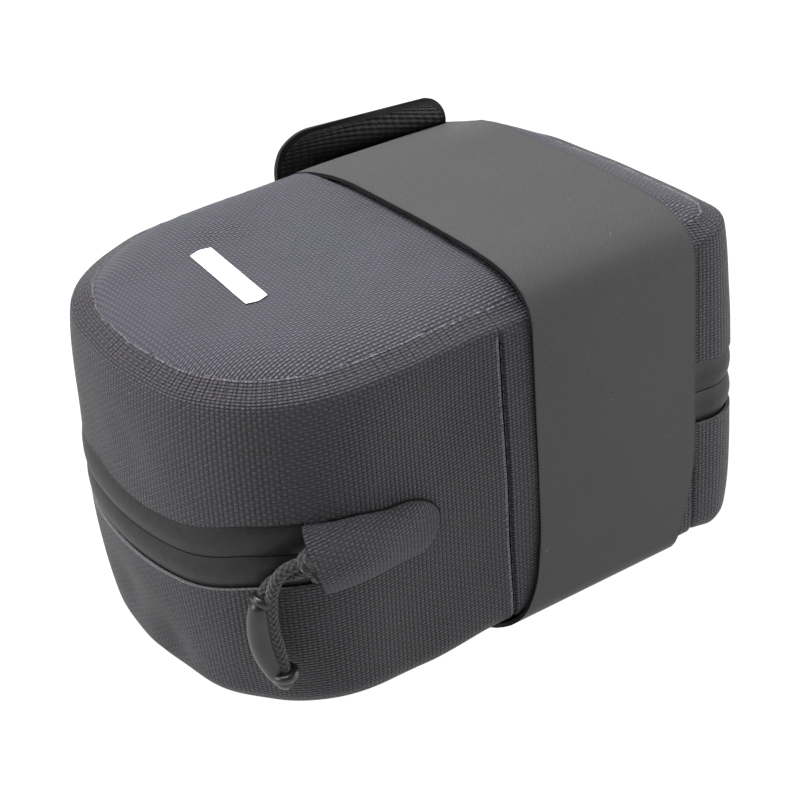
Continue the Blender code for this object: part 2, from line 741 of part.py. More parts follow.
def tube(name, points, diameter, spacing, colour, roughness, radii=None, pivot=(0, 0, 0)):
    """A round cord or moulding along a route, with filled caps."""
    route = smooth_route(points, spacing)
    curve = bpy.data.curves.new(name, "CURVE")
    curve.dimensions = "3D"
    curve.bevel_depth = diameter / 2
    curve.bevel_resolution = 2
    curve.use_fill_caps = True
    spline = curve.splines.new("POLY")
    spline.points.add(len(route) - 1)
    for i, (target, place) in enumerate(zip(spline.points, route)):
        local = place - Vector(pivot)
        target.co = (local.x, local.y, local.z, 1)
        if radii:
            share = i / (len(route) - 1) * (len(radii) - 1)
            low = min(int(share), len(radii) - 2)
            target.radius = radii[low] + (radii[low + 1] - radii[low]) * (share - low)
    return finish(name, curve, colour, roughness, pivot=pivot)


def pull_pivot():
    """Where the cord hangs from the pull tab's eye."""
    return KNOT_PLACE


def cord_pull():
    """Braided cord, its knot and the moulded grip that it runs through."""
    braid = (0.035, 0.035, 0.036)
    mesh = bpy.data.meshes.new("cord_knot")
    bm = bmesh.new()
    bmesh.ops.create_icosphere(bm, subdivisions=2, radius=0.5)
    bmesh.ops.scale(bm, verts=bm.verts, vec=(KNOT_WIDTH, KNOT_WIDTH, KNOT_WIDTH + 0.0016))
    bm.to_mesh(mesh)
    bm.free()
    finish("cord_knot", mesh, braid, 0.8, pivot=pull_pivot())
    spacing = 2 * CORD_DIAMETER
    tube("pull_cord_front", CORD_FRONT, CORD_DIAMETER, spacing, braid, 0.8, pivot=pull_pivot())
    tube("pull_cord_back", CORD_BACK, CORD_DIAMETER, spacing, braid, 0.8, pivot=pull_pivot())
    tube(
        "pull_grip",
        GRIP_LINE,
        GRIP_THICKNESS,
        0.0030,
        (0.05, 0.05, 0.052),
        0.35,
        radii=(0.80, 1.0, 0.95, 0.9, 1.0, 0.8),
        pivot=pull_pivot(),
    )


bottom_panel()
base_stiffener()
lower_gusset()
hinge_panels()
near_patch()
zip_halves()
zip_stop("zip_stop_front", GARAGE_MOUTH_X + 0.0042 + 0.0090)
zip_stop("zip_stop_rear", ZIP_REAR_X + 0.0015)
zip_garage()
upper_gusset()
top_panel()
lid_stiffener()
strap_base()
strap_near_upper()
strap_arm()
strap_tab()
slider_body()
slider_bridge()
pull_tab()
cord_pull()
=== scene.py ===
import math

import bmesh
import bpy
import numpy as np
from mathutils import Matrix, Vector, noise


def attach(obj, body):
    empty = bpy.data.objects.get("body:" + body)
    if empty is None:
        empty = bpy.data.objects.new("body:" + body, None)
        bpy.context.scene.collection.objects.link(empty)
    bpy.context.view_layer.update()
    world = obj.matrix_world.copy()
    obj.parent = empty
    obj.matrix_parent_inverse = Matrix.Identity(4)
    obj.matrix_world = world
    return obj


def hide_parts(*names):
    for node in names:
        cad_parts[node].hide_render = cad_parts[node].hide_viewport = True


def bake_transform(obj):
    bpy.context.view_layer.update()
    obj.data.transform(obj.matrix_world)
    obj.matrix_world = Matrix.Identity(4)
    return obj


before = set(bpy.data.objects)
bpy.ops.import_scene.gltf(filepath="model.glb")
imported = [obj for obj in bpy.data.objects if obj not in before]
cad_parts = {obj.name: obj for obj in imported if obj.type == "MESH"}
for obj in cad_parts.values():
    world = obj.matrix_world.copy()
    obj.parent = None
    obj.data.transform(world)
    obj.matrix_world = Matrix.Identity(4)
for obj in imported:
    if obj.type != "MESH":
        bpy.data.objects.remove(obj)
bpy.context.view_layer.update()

# ------------------------------------------------------------------ camera, floor and light
# The bag stands on a plain pale table under large soft lights. The camera is a long lens, half a
# metre away, and looks down on the corner between the nose and the near side.

SIDE_SHIFT = -0.00185
camera = bpy.data.objects.new("camera", bpy.data.cameras.new("camera"))
bpy.context.scene.collection.objects.link(camera)
camera.data.lens = 93.4
camera.data.sensor_width = 36.0
camera.data.clip_start = 0.01
camera.matrix_world = Matrix(
    (
        (0.80137, 0.36077, -0.47713, -0.2525),
        (-0.59388, 0.38459, -0.70668, -0.3803 + SIDE_SHIFT),
        (-0.07145, 0.84967, 0.52245, 0.3237),
        (0, 0, 0, 1),
    )
)
bpy.context.scene.camera = camera
bpy.context.scene.view_settings.view_transform = "Standard"
bpy.context.scene.view_settings.look = "None"

bpy.ops.object.select_all(action="DESELECT")
bpy.ops.mesh.primitive_plane_add(size=6.0, location=(0, 0, -0.0002))
floor = bpy.context.object
floor.name = "table_top"
floor_look = bpy.data.materials.new("pale_table")
floor_look.use_nodes = True
floor_shader = floor_look.node_tree.nodes["Principled BSDF"]
floor_shader.inputs["Base Color"].default_value = (0.06, 0.06, 0.06, 1)
floor_shader.inputs["Roughness"].default_value = 0.9
floor_shader.inputs["Specular IOR Level"].default_value = 0.1
floor_shader.inputs["Emission Color"].default_value = (1, 1, 1, 1)
floor_shader.inputs["Emission Strength"].default_value = 1.0
floor.data.materials.append(floor_look)

world = bpy.data.worlds.new("studio")
bpy.context.scene.world = world
world.use_nodes = True
world.node_tree.nodes["Background"].inputs["Color"].default_value = (1, 1, 1, 1)
world.node_tree.nodes["Background"].inputs["Strength"].default_value = 0.16

for name, place, size, power in (
    ("light_over", (-0.10, 0.30, 1.1), 0.9, 30.0),
    ("light_nose_side", (-1.0, 0.30, 0.50), 0.7, 8.0),
    ("light_end_side", (0.9, -0.30, 0.45), 0.6, 3.5),
    ("light_low_corner", (0.28, -0.34, 0.03), 0.3, 1.2),
):
    lamp = bpy.data.lights.new(name, "AREA")
    lamp.shape = "SQUARE"
    lamp.size = size
    lamp.energy = power
    holder = bpy.data.objects.new(name, lamp)
    holder.location = place
    holder.rotation_euler = (Vector(place) - Vector((0, 0, 0.04))).to_track_quat("Z", "Y").to_euler()
    bpy.context.scene.collection.objects.link(holder)


# ------------------------------------------------------------------ pull cord, hitch and grip
# A 3 mm braided cord, tied to the slider's tab with a hitch. It hangs down the nose shoulder and
# runs into a moulded plastic crescent that the finger takes hold of.

CORD = 0.0031
HITCH_PLACE = Vector((-0.0580, -0.0507, 0.0478))


def shifted(points):
    return [Vector(p) + Vector((0, SIDE_SHIFT, 0)) for p in points]


def smooth_route(points, count):
    """count points at even spacing along a smooth curve through points, and the curve's length."""
    guide = bpy.data.curves.new("guide", "CURVE")
    guide.dimensions = "3D"
    guide.resolution_u = 16
    spline = guide.splines.new("BEZIER")
    spline.bezier_points.add(len(points) - 1)
    for knot, point in zip(spline.bezier_points, points):
        knot.co = point
        knot.handle_left_type = "AUTO"
        knot.handle_right_type = "AUTO"
    holder = bpy.data.objects.new("guide", guide)
    line = np.array([v.co[:] for v in bpy.data.meshes.new_from_object(holder).vertices])
    bpy.data.objects.remove(holder)
    walked = np.concatenate([[0], np.cumsum(np.linalg.norm(np.diff(line, axis=0), axis=1))])
    even = np.linspace(0, walked[-1], count)
    return np.stack([np.interp(even, walked, line[:, k]) for k in range(3)], axis=1), walked[-1]


def new_material(name, colour, roughness, specular=0.4):
    """A material with its shader's plain values set, and the tree's nodes to add to."""
    material = bpy.data.materials.new(name)
    material.use_nodes = True
    shader = material.node_tree.nodes["Principled BSDF"]
    shader.inputs["Base Color"].default_value = (*colour, 1)
    shader.inputs["Roughness"].default_value = roughness
    shader.inputs["Specular IOR Level"].default_value = specular
    return material, material.node_tree, shader


def math_node(tree, operation, first, second=None, third=None):
    node = tree.nodes.new("ShaderNodeMath")
    node.operation = operation
    for socket, value in zip(node.inputs, (first, second, third)):
        if value is None:
            continue
        if isinstance(value, (int, float)):
            socket.default_value = value
        else:
            tree.links.new(value, socket)
    return node.outputs[0]


def noise_node(tree, scale, detail=2.0):
    coordinates = tree.nodes.new("ShaderNodeTexCoord")
    texture = tree.nodes.new("ShaderNodeTexNoise")
    texture.inputs["Scale"].default_value = scale
    texture.inputs["Detail"].default_value = detail
    tree.links.new(coordinates.outputs["Object"], texture.inputs["Vector"])
    return texture.outputs["Fac"]


def shade_colour(tree, shader, colour, factor):
    """Base colour times a grey factor."""
    mix = tree.nodes.new("ShaderNodeVectorMath")
    mix.operation = "SCALE"
    mix.inputs[0].default_value = colour
    tree.links.new(factor, mix.inputs["Scale"])
    tree.links.new(mix.outputs[0], shader.inputs["Base Color"])


def add_bump(tree, shader, height, depth):
    bump = tree.nodes.new("ShaderNodeBump")
    bump.inputs["Distance"].default_value = depth
    tree.links.new(height, bump.inputs["Height"])
    tree.links.new(bump.outputs["Normal"], shader.inputs["Normal"])


def uv_waves(tree, pitch_u, pitch_v):
    """Sine waves along the cloth's two thread directions, as separate values."""
    uv = tree.nodes.new("ShaderNodeUVMap")
    scale = tree.nodes.new("ShaderNodeVectorMath")
    scale.operation = "MULTIPLY"
    scale.inputs[1].default_value = (math.pi / pitch_u, math.pi / pitch_v, 0)
    tree.links.new(uv.outputs["UV"], scale.inputs[0])
    wave = tree.nodes.new("ShaderNodeVectorMath")
    wave.operation = "SINE"
    tree.links.new(scale.outputs[0], wave.inputs[0])
    split = tree.nodes.new("ShaderNodeSeparateXYZ")
    tree.links.new(wave.outputs[0], split.inputs[0])
    return split.outputs["X"], split.outputs["Y"]


def swept(name, line, radii, look, sides=16):
    """A round tube along a line with a radius at each point, closed at both ends."""
    line = np.asarray(line)
    tangent = np.gradient(line, axis=0)
    tangent /= np.linalg.norm(tangent, axis=1)[:, None]
    across = np.cross(tangent[0], (0.3, 0.8, 0.5))
    bm = bmesh.new()
    uv_layer = bm.loops.layers.uv.new("UVMap")
    rings = []
    walked = 0.0
    along = []
    for i, (point, direction) in enumerate(zip(line, tangent)):
        across = across - direction * np.dot(across, direction)
        across /= np.linalg.norm(across)
        other = np.cross(direction, across)
        if i:
            walked += float(np.linalg.norm(point - line[i - 1]))
        along.append(walked)
        ring = []
        for k in range(sides):
            angle = math.tau * k / sides
            offset = radii[i] * (math.cos(angle) * across + math.sin(angle) * other)
            ring.append(bm.verts.new(point + offset))
        rings.append(ring)
    girth = math.tau * max(radii)
    for i in range(len(rings) - 1):
        for k in range(sides):
            j = (k + 1) % sides
            face = bm.faces.new((rings[i][k], rings[i][j], rings[i + 1][j], rings[i + 1][k]))
            face.smooth = True
            corners = ((i, k), (i, k + 1), (i + 1, k + 1), (i + 1, k))
            for loop, (row, side) in zip(face.loops, corners):
                loop[uv_layer].uv = (side / sides * girth, along[row])
    bm.faces.new(rings[0][::-1])
    bm.faces.new(rings[-1])
    bmesh.ops.recalc_face_normals(bm, faces=bm.faces[:])
    mesh = bpy.data.meshes.new(name)
    bm.to_mesh(mesh)
    bm.free()
    mesh.materials.append(look)
    obj = bpy.data.objects.new(name, mesh)
    bpy.context.scene.collection.objects.link(obj)
    return obj


def joined(pieces):
    """The pieces made into one, which keeps the first piece's name."""
    bpy.ops.object.select_all(action="DESELECT")
    for piece in pieces:
        piece.select_set(True)
    bpy.context.view_layer.objects.active = pieces[0]
    bpy.ops.object.join()
    return pieces[0]


braid_colour = (0.017, 0.017, 0.0178)
braid, tree, shader = new_material("cord_braid", braid_colour, 0.75, 0.35)
wave_round, wave_along = uv_waves(tree, CORD * math.pi / 12, 0.00085)
plaits = math_node(tree, "MULTIPLY_ADD", math_node(tree, "MULTIPLY", wave_round, wave_along), 0.5, 0.5)
fuzz = noise_node(tree, 4000.0)
specks = math_node(tree, "GREATER_THAN", noise_node(tree, 2600.0, 1.0), 0.64)
plaits_colour = math_node(tree, "MULTIPLY_ADD", plaits, 1.7, math_node(tree, "MULTIPLY", fuzz, 0.5))
plaits_colour = math_node(tree, "MULTIPLY_ADD", specks, 2.2, plaits_colour)
shade_colour(tree, shader, braid_colour, plaits_colour)
add_bump(tree, shader, plaits, 0.0004)
shader.inputs["Sheen Weight"].default_value = 0.2

front_route = shifted(
    [
        (-0.0585, -0.0504, 0.0490),
        (-0.0613, -0.0486, 0.0481),
        (-0.0636, -0.0470, 0.0464),
        (-0.0653, -0.0457, 0.0429),
        (-0.0663, -0.0448, 0.0366),
        (-0.0664, -0.0447, 0.0305),
        (-0.0659, -0.0452, 0.0246),
        (-0.0653, -0.0457, 0.0175),
    ]
)
back_route = shifted(
    [
        (-0.0586, -0.0495, 0.0462),
        (-0.0603, -0.0470, 0.0446),
        (-0.0618, -0.0447, 0.0436),
        (-0.0636, -0.0434, 0.0424),
        (-0.0656, -0.0424, 0.0405),
        (-0.0671, -0.0426, 0.0384),
    ]
)
FRONT_POINTS = 30
BACK_POINTS = 16
front_line, front_length = smooth_route(front_route, FRONT_POINTS)
back_line, _ = smooth_route(back_route, BACK_POINTS)
front_cord = swept("pull_cord", front_line, [CORD / 2] * FRONT_POINTS, braid)
back_cord = swept("pull_cord_return", back_line, [CORD / 2] * BACK_POINTS, braid)

hitch_centre = shifted([HITCH_PLACE])[0] + Vector((-0.0003, 0.0002, 0.0009))
hitch_axis = Vector((-0.62, 0.42, -0.66)).normalized()
hitch_side = hitch_axis.cross(Vector((0, 0, 1))).normalized()
hitch_up = hitch_side.cross(hitch_axis)
HITCH_TURNS = 2.1
HITCH_RADIUS = 0.00235
HITCH_DEPTH = 0.0036
WRAP_STEPS = 60
wraps = []
for i in range(WRAP_STEPS + 1):
    angle = math.tau * HITCH_TURNS * i / WRAP_STEPS
    around = HITCH_RADIUS * (math.cos(angle) * hitch_side + 0.85 * math.sin(angle) * hitch_up)
    wraps.append(hitch_centre + around + hitch_axis * (-HITCH_DEPTH / 2 + HITCH_DEPTH * i / WRAP_STEPS))
begin = hitch_centre + Vector((-0.0002, -0.0010, -0.0010))
tip = begin + Vector((0.0006, -0.0008, -0.0030))
end_line, _ = smooth_route([begin, (begin + tip) / 2 + Vector((0.0002, -0.0007, 0)), tip], 12)
end_radii = [CORD * 0.34 * (1 + 0.15 * k / 11) for k in range(12)]
cut_end = swept("cord_end", end_line, end_radii, braid, sides=12)
hitch_wraps = swept("cord_hitch", wraps, [CORD * 0.33] * (WRAP_STEPS + 1), braid, sides=12)
hitch = joined([hitch_wraps, cut_end])

grip_colour = (0.012, 0.012, 0.0125)
grip_look, tree, shader = new_material("grip_plastic", grip_colour, 0.32, 0.55)
grain = noise_node(tree, 900.0, 3.0)
add_bump(tree, shader, grain, 0.00004)
scuffs = math_node(tree, "MULTIPLY_ADD", noise_node(tree, 160.0, 4.0), 0.9, 0.6)
shade_colour(tree, shader, grip_colour, scuffs)
GRIP_POINTS = 40
grip_route = shifted(
    [
        (-0.0677, -0.0426, 0.0384),
        (-0.0682, -0.0424, 0.0352),
        (-0.0684, -0.0421, 0.0305),
        (-0.0682, -0.0424, 0.0255),
        (-0.0674, -0.0434, 0.0205),
        (-0.0660, -0.0448, 0.0162),
        (-0.0645, -0.0462, 0.0142),
    ]
)
grip_line, _ = smooth_route(grip_route, GRIP_POINTS)
grip_radii = []
for i in range(GRIP_POINTS):
    along = i / (GRIP_POINTS - 1)
    swell = 0.0023 + 0.0010 * math.sin(math.pi * min(1, along * 1.15)) ** 0.8
    ends = min(1.0, (0.55 + min(along, 1 - along) * 9)) ** 0.5
    grip_radii.append(swell * ends)
grip = swept("pull_grip_body", grip_line, grip_radii, grip_look, sides=20)
ring_meshes = []
for place, axis, radius in (
    (front_line[-1], front_line[-1] - front_line[-6], 0.0023),
    (back_line[-1] + [0, 0, -0.0007], back_line[-1] - back_line[-5], 0.0020),
):
    bpy.ops.object.select_all(action="DESELECT")
    bpy.ops.mesh.primitive_torus_add(
        major_radius=radius,
        minor_radius=0.0012,
        major_segments=28,
        minor_segments=12,
        location=Vector(place),
        rotation=Vector(axis).to_track_quat("Z", "Y").to_euler(),
    )
    ring = bpy.context.object
    bpy.ops.object.transform_apply(location=True, rotation=True, scale=True)
    bpy.ops.object.shade_smooth()
    ring.data.materials.append(grip_look)
    ring_meshes.append(ring)
grip = joined([grip, *ring_meshes])
for piece, solid, slot in (
    (front_cord, "pull_cord_front", "cord_braid"),
    (back_cord, "pull_cord_back", "cord_braid"),
    (hitch, "cord_knot", "cord_braid"),
    (grip, "pull_grip", "grip_plastic"),
):
    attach(piece, "pull")
    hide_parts(solid)


# ------------------------------------------------------------------ lower and upper gusset
# The wall round the bag: coated basket-weave nylon, one strip welded from seam to seam. The zip's
# slot is cut in it. Its lower edge turns in under the base and its upper edge is lapped and welded
# over the rim of the top panel, where the raw cut edge shows as a pale line.

HALF_LENGTH = 0.0745
END_HALF_WIDTH = 0.0533
TAPER = 0.0394
NOSE_RADIUS = 0.090
SHOULDER_RADIUS = 0.038
SHOULDER = np.array((-0.0353355, -0.0109430))
NOSE_TURN = math.radians(12.148)
CORNER_RADIUS = 0.012
LEFT_SEAM = -0.0005
RIGHT_SEAM = 0.0576
BAND_HALF = 0.0090
CLOTH = 0.0009


def half_plan():
    """Points from the nose tip along the near side to the middle of the flat end."""
    taper = math.atan(TAPER)
    square = math.hypot(1, TAPER)
    corner_y = CORNER_RADIUS * square - END_HALF_WIDTH + TAPER * CORNER_RADIUS
    corner = np.array((HALF_LENGTH - CORNER_RADIUS, corner_y))
    points = []
    for centre, radius, start, end, count in (
        ((-HALF_LENGTH + NOSE_RADIUS, 0), NOSE_RADIUS, -math.pi / 2, -math.pi / 2 + NOSE_TURN, 60),
        (SHOULDER, SHOULDER_RADIUS, -math.pi / 2 + NOSE_TURN, -taper, 200),
        (corner, CORNER_RADIUS, -taper, math.pi / 2, 80),
    ):
        for heading in np.linspace(start, end, count):
            points.append(np.array(centre) + radius * np.array((math.sin(heading), -math.cos(heading))))
    points.append(np.array((HALF_LENGTH, 0.0)))
    points = np.array(points)
    steps = np.linalg.norm(np.diff(points, axis=0), axis=1)
    walked = np.concatenate([[0], np.cumsum(steps)])
    even = np.arange(0, walked[-1], 0.00025)
    line = np.stack([np.interp(even, walked, points[:, k]) for k in range(2)], axis=1)
    tangent = np.gradient(line, axis=0)
    tangent /= np.linalg.norm(tangent, axis=1)[:, None]
    normal = np.stack([tangent[:, 1], -tangent[:, 0]], axis=1)
    padded = np.pad(normal, ((8, 8), (0, 0)), "edge")
    soft = np.stack([np.convolve(padded[:, k], np.ones(17) / 17, "valid") for k in range(2)], axis=1)
    return even, line, soft / np.linalg.norm(soft, axis=1)[:, None]


plan_s, plan_point, plan_normal = half_plan()
HALF_ROUND = plan_s[-1]
ROUND = 2 * HALF_ROUND
straight = plan_s < HALF_ROUND - 0.05


def near_s(x):
    """Distance round the bag, from the nose tip along the near side, at this x."""
    return float(np.interp(x, plan_point[straight, 0], plan_s[straight]))


def stations(s):
    """Plan points and outward normals at distances round the bag."""
    s = np.mod(np.asarray(s, float), ROUND)
    far = s > HALF_ROUND
    folded = np.where(far, ROUND - s, s)
    point = np.stack([np.interp(folded, plan_s, plan_point[:, k]) for k in range(2)], axis=-1)
    normal = np.stack([np.interp(folded, plan_s, plan_normal[:, k]) for k in range(2)], axis=-1)
    point[..., 1] = np.where(far, -point[..., 1], point[..., 1])
    normal[..., 1] = np.where(far, -normal[..., 1], normal[..., 1])
    return point, normal


def ease(value):
    value = np.clip(value, 0, 1)
    return value * value * (3 - 2 * value)


def nose_share(x):
    return ease((-0.028 - x) / 0.040)


def fullness(point, normal, z):
    """How far the filled wall stands out from the outline."""
    belly = np.sin(math.pi * np.clip((z - 0.004) / 0.083, 0, 1)) ** 0.6
    reach = 0.0006 + 0.0030 * nose_share(point[..., 0]) + 0.0025 * np.clip(normal[..., 0], 0, 1)
    foot = 0.0012 * np.clip(normal[..., 0], 0, 1) * (1 - ease(z / 0.040))
    return belly * reach + foot


def band_middle(point):
    """Height of the zip's middle line: it dips a little round the nose and at the flat end."""
    x = point[..., 0]
    return 0.0472 - 0.0036 * ease((-0.063 - x) / 0.0115) - 0.0026 * ease((x - 0.040) / 0.025)


# How far the lid rides up or gives way: x and y of a place, and its rise in millimetres.
LID_SAG = (
    (-0.055, 0.040, 1.0),
    (-0.030, 0.046, 2.2),
    (-0.004, 0.048, 1.6),
    (0.006, 0.049, 1.0),
    (0.018, 0.048, 0.0),
    (0.040, 0.047, 0.0),
    (0.057, 0.046, -1.0),
    (0.067, 0.044, -4.0),
    (0.073, 0.032, 0.2),
    (0.073, 0.012, 2.0),
    (0.073, -0.010, 2.6),
    (0.073, -0.030, 2.6),
    (0.070, -0.048, 2.2),
    (0.050, -0.050, 0.6),
    (0.020, -0.050, 0.0),
    (-0.020, -0.048, 0.0),
    (-0.050, -0.036, 0.0),
    (-0.068, -0.018, -0.2),
    (-0.072, 0.010, -0.4),
    (-0.040, 0.000, 0.0),
    (0.000, 0.015, 0.4),
    (0.032, 0.020, -0.3),
    (0.055, 0.010, 0.0),
)


DROOP = 0.0016


def drooped(places):
    """The base hangs down a little at both ends, where the strap doesn't hold it up."""
    x = places[..., 0]
    ends = np.maximum(ease((-0.004 - x) / 0.022), ease((x - 0.058) / 0.010))
    return DROOP * ends * (1 - ease(places[..., 2] / 0.030))


def strap_pull(places):
    """How far the strap is pulled down over the lid's far edge, more towards the flat end."""
    deep = 0.0036 + 0.0020 * ease((places[..., 0] - 0.006) / 0.050)
    return deep * ease((places[..., 1] - 0.016) / 0.030)


def sagged(places):
    """The lid is not level: it rides up along the flat end and the far nose side, and gives way
    under the strap at its far edge."""
    knots = np.array(LID_SAG)
    gap = ((places[..., None, :2] - knots[:, :2]) ** 2).sum(-1)
    weight = np.exp(-gap / (2 * 0.0085**2)) + 1e-9
    rise = (weight * knots[:, 2]).sum(-1) / weight.sum(-1) * 0.001
    x = places[..., 0]
    under = ease((x - 0.0060) / 0.0055) * (1 - ease((x - 0.059) / 0.010))
    rise -= (strap_pull(places) * 1.05 + 0.0004) * under
    moved = places.copy()
    moved[..., 2] += rise * ease((places[..., 2] - 0.058) / 0.028)
    return moved


def cloth_noise(places, size, seed):
    """Smooth noise at each place, from -1 to 1."""
    flat = places.reshape(-1, 3) / size + seed
    return np.array([noise.noise(p) for p in flat.tolist()]).reshape(places.shape[:-1])


# Dents of the filled cloth: centre, reach and depth, with a bulge as a depth below zero.
NOSE_DENTS = (
    (-0.0720, -0.0080, 0.012, 0.0050, 0.0026),
    (-0.0680, -0.0210, 0.018, 0.0035, 0.0015),
    (-0.0760, 0.0080, 0.018, 0.0060, 0.0016),
    (-0.0640, -0.0310, 0.008, 0.0045, 0.0014),
    (-0.0760, -0.0040, 0.066, 0.0060, 0.0010),
    (-0.0770, 0.0140, 0.060, 0.0120, 0.0016),
    (-0.0330, -0.0490, 0.076, 0.0080, -0.0008),
    (-0.0130, -0.0510, 0.070, 0.0075, 0.0010),
)


def rippled(places, outward, amount=1.0):
    """Soft dents and waves of filled cloth, along the outward directions."""
    slow = cloth_noise(places, 0.031, 3.7)
    quick = cloth_noise(places, 0.011, 9.1)
    low = np.clip(1 - places[..., 2] / 0.04, 0, 1)
    depth = 0.00040 * slow + 0.00012 * quick + 0.0010 * low * np.minimum(slow, 0)
    for x, y, z, wide, deep in NOSE_DENTS:
        gap = ((places - np.array((x, y, z))) ** 2).sum(-1)
        depth -= deep * np.exp(-gap / (2 * wide**2))
    places = sagged(places + outward * (depth * amount)[..., None])
    places[..., 2] -= drooped(places)
    return places


def thickened(obj, thick, even):
    """Gives a sheet its thickness behind its outer face. The inner face and edge take later materials."""
    wall = obj.modifiers.new("cloth", "SOLIDIFY")
    wall.thickness = thick
    wall.offset = -1
    if even:
        wall.use_even_offset = True
        wall.thickness_clamp = 0.8
    wall.material_offset = 1
    wall.material_offset_rim = 2
    bpy.ops.object.select_all(action="DESELECT")
    obj.select_set(True)
    bpy.context.view_layer.objects.active = obj
    bpy.ops.object.modifier_apply(modifier="cloth")


def cloth_piece(name, places, uv, looks, keep=None, wrap=False, thick=CLOTH, values=None, flip=False):
    """A sheet from a grid of points, made into cloth of this thickness behind its outer face.

    looks are the materials of its outer face, inner face and cut edge.
    """
    rows, cols = places.shape[:2]
    faces = []
    corners = []
    for r in range(rows - 1):
        for c in range(cols if wrap else cols - 1):
            if keep is not None and not keep[r, c]:
                continue
            d = (c + 1) % cols
            quad = [(r, c), (r, d), (r + 1, d), (r + 1, c)]
            if flip:
                quad = quad[::-1]
            faces.append([a * cols + b for a, b in quad])
            far = cols if d == 0 else d
            corners.append([(a, far if b == d else b) for a, b in quad])
    mesh = bpy.data.meshes.new(name)
    mesh.from_pydata(places.reshape(-1, 3).tolist(), [], faces)
    layer = mesh.uv_layers.new(name="UVMap")
    flat = []
    for quad in corners:
        for a, b in quad:
            flat += [float(uv[a, b, 0]), float(uv[a, b, 1])]
    layer.data.foreach_set("uv", flat)
    for key, value in (values or {}).items():
        attribute = mesh.attributes.new(key, "FLOAT", "POINT")
        attribute.data.foreach_set("value", value.reshape(-1).astype(np.float32))
    for look in looks:
        mesh.materials.append(look)
    mesh.polygons.foreach_set("use_smooth", [True] * len(mesh.polygons))
    obj = bpy.data.objects.new(name, mesh)
    bpy.context.scene.collection.objects.link(obj)
    bm = bmesh.new()
    bm.from_mesh(mesh)
    bmesh.ops.delete(bm, geom=[v for v in bm.verts if not v.link_faces], context="VERTS")
    bm.to_mesh(mesh)
    bm.free()
    if thick:
        thickened(obj, thick, even=True)
        bpy.ops.object.shade_smooth_by_angle(angle=math.radians(50))
    return obj


def attribute_node(tree, name):
    node = tree.nodes.new("ShaderNodeAttribute")
    node.attribute_name = name
    return node.outputs["Fac"]


def woven_cloth(name, colour, pitch, depth, roughness, contrast=0.75, edges=True, painted_lap_light_crease_shade=False):
    """Basket weave of two thread directions, with mottling and frayed pale edges. Its colour is darker in
    the hollows between threads and lighter on their tops, painted shade and painted light. When asked, it
    also paints shade into the lap's fold lines and light onto the lap band.
    """
    material, tree, shader = new_material(name, colour, roughness, 0.3)
    across, along = uv_waves(tree, pitch, pitch * 0.70)
    crossed = math_node(tree, "MULTIPLY", across, along)
    wide = math_node(tree, "POWER", math_node(tree, "ABSOLUTE", across), 0.38)
    tall = math_node(tree, "POWER", math_node(tree, "ABSOLUTE", along), 0.65)
    rounded = math_node(tree, "MULTIPLY", wide, tall)
    over = math_node(tree, "MULTIPLY_ADD", math_node(tree, "SIGN", crossed), 0.22, 0.78)
    rounded = math_node(tree, "MULTIPLY", rounded, over)
    threads = noise_node(tree, 1300.0, 2.0)
    patches = noise_node(tree, 55.0, 3.0)
    # Painted shade and light: the weave's colour follows its relief, darkest in the hollows between
    # threads and lightest on the thread tops.
    tone = math_node(tree, "MULTIPLY_ADD", rounded, contrast, 1.0 - contrast * 0.50)
    tone = math_node(tree, "ADD", tone, math_node(tree, "MULTIPLY_ADD", threads, 0.36, -0.18))
    tone = math_node(tree, "ADD", tone, math_node(tree, "MULTIPLY_ADD", patches, 0.25, -0.125))
    height = math_node(tree, "MULTIPLY_ADD", threads, 0.25, rounded)
    if edges:
        fray = math_node(tree, "MULTIPLY_ADD", noise_node(tree, 1500.0, 2.0), 1.4, -0.75)
        worn = math_node(tree, "ADD", attribute_node(tree, "edge"), fray)
        pale = math_node(tree, "MULTIPLY", math_node(tree, "GREATER_THAN", worn, 0.74), 3.2)
        tone = math_node(tree, "ADD", tone, pale)
    # Painted shade and light on the lap: thin fold lines are darkened as painted shade in the creases, and
    # the whole lap band, which faces up to the lamps, is lightened as painted light.
    if painted_lap_light_crease_shade:
        uv = tree.nodes.new("ShaderNodeUVMap")
        split = tree.nodes.new("ShaderNodeSeparateXYZ")
        tree.links.new(uv.outputs["UV"], split.inputs[0])
        wobble = math_node(tree, "SINE", math_node(tree, "MULTIPLY", split.outputs["X"], 173.0))
        jitter = math_node(tree, "MULTIPLY_ADD", noise_node(tree, 400.0, 1.0), 0.8, wobble)
        wave = math_node(tree, "SINE", math_node(tree, "MULTIPLY_ADD", split.outputs["X"], 1350.0, jitter))
        sharp = math_node(tree, "POWER", math_node(tree, "ABSOLUTE", wave), 34.0)
        fold = math_node(tree, "MULTIPLY", sharp, attribute_node(tree, "lap_light_crease_shade"))
        tone = math_node(tree, "MULTIPLY_ADD", fold, -0.60, tone)
        tone = math_node(tree, "MULTIPLY_ADD", attribute_node(tree, "lap_light_crease_shade"), 0.32, tone)
        height = math_node(tree, "MULTIPLY_ADD", fold, -0.8, height)
    tone = math_node(tree, "MAXIMUM", tone, 0.12)
    shade_colour(tree, shader, colour, tone)
    add_bump(tree, shader, height, depth)
    shader.inputs["Sheen Weight"].default_value = 0.08
    return material


WEAVE = 0.00119
gusset_cloth = woven_cloth(
    "gusset_cloth", (0.0284, 0.0254, 0.0320), WEAVE, 0.00065, 0.54, contrast=2.0, painted_lap_light_crease_shade=True
)
inner_cloth, tree, shader = new_material("coating_inside", (0.05, 0.05, 0.055), 0.5, 0.3)
add_bump(tree, shader, noise_node(tree, 900.0), 0.00004)
fibre_colour = (0.17, 0.17, 0.18)
cut_edge, tree, shader = new_material("cut_edge", fibre_colour, 0.85, 0.2)
ragged = math_node(tree, "MULTIPLY_ADD", noise_node(tree, 2600.0), 1.9, 0.05)
shade_colour(tree, shader, fibre_colour, ragged)
add_bump(tree, shader, noise_node(tree, 2600.0), 0.00015)

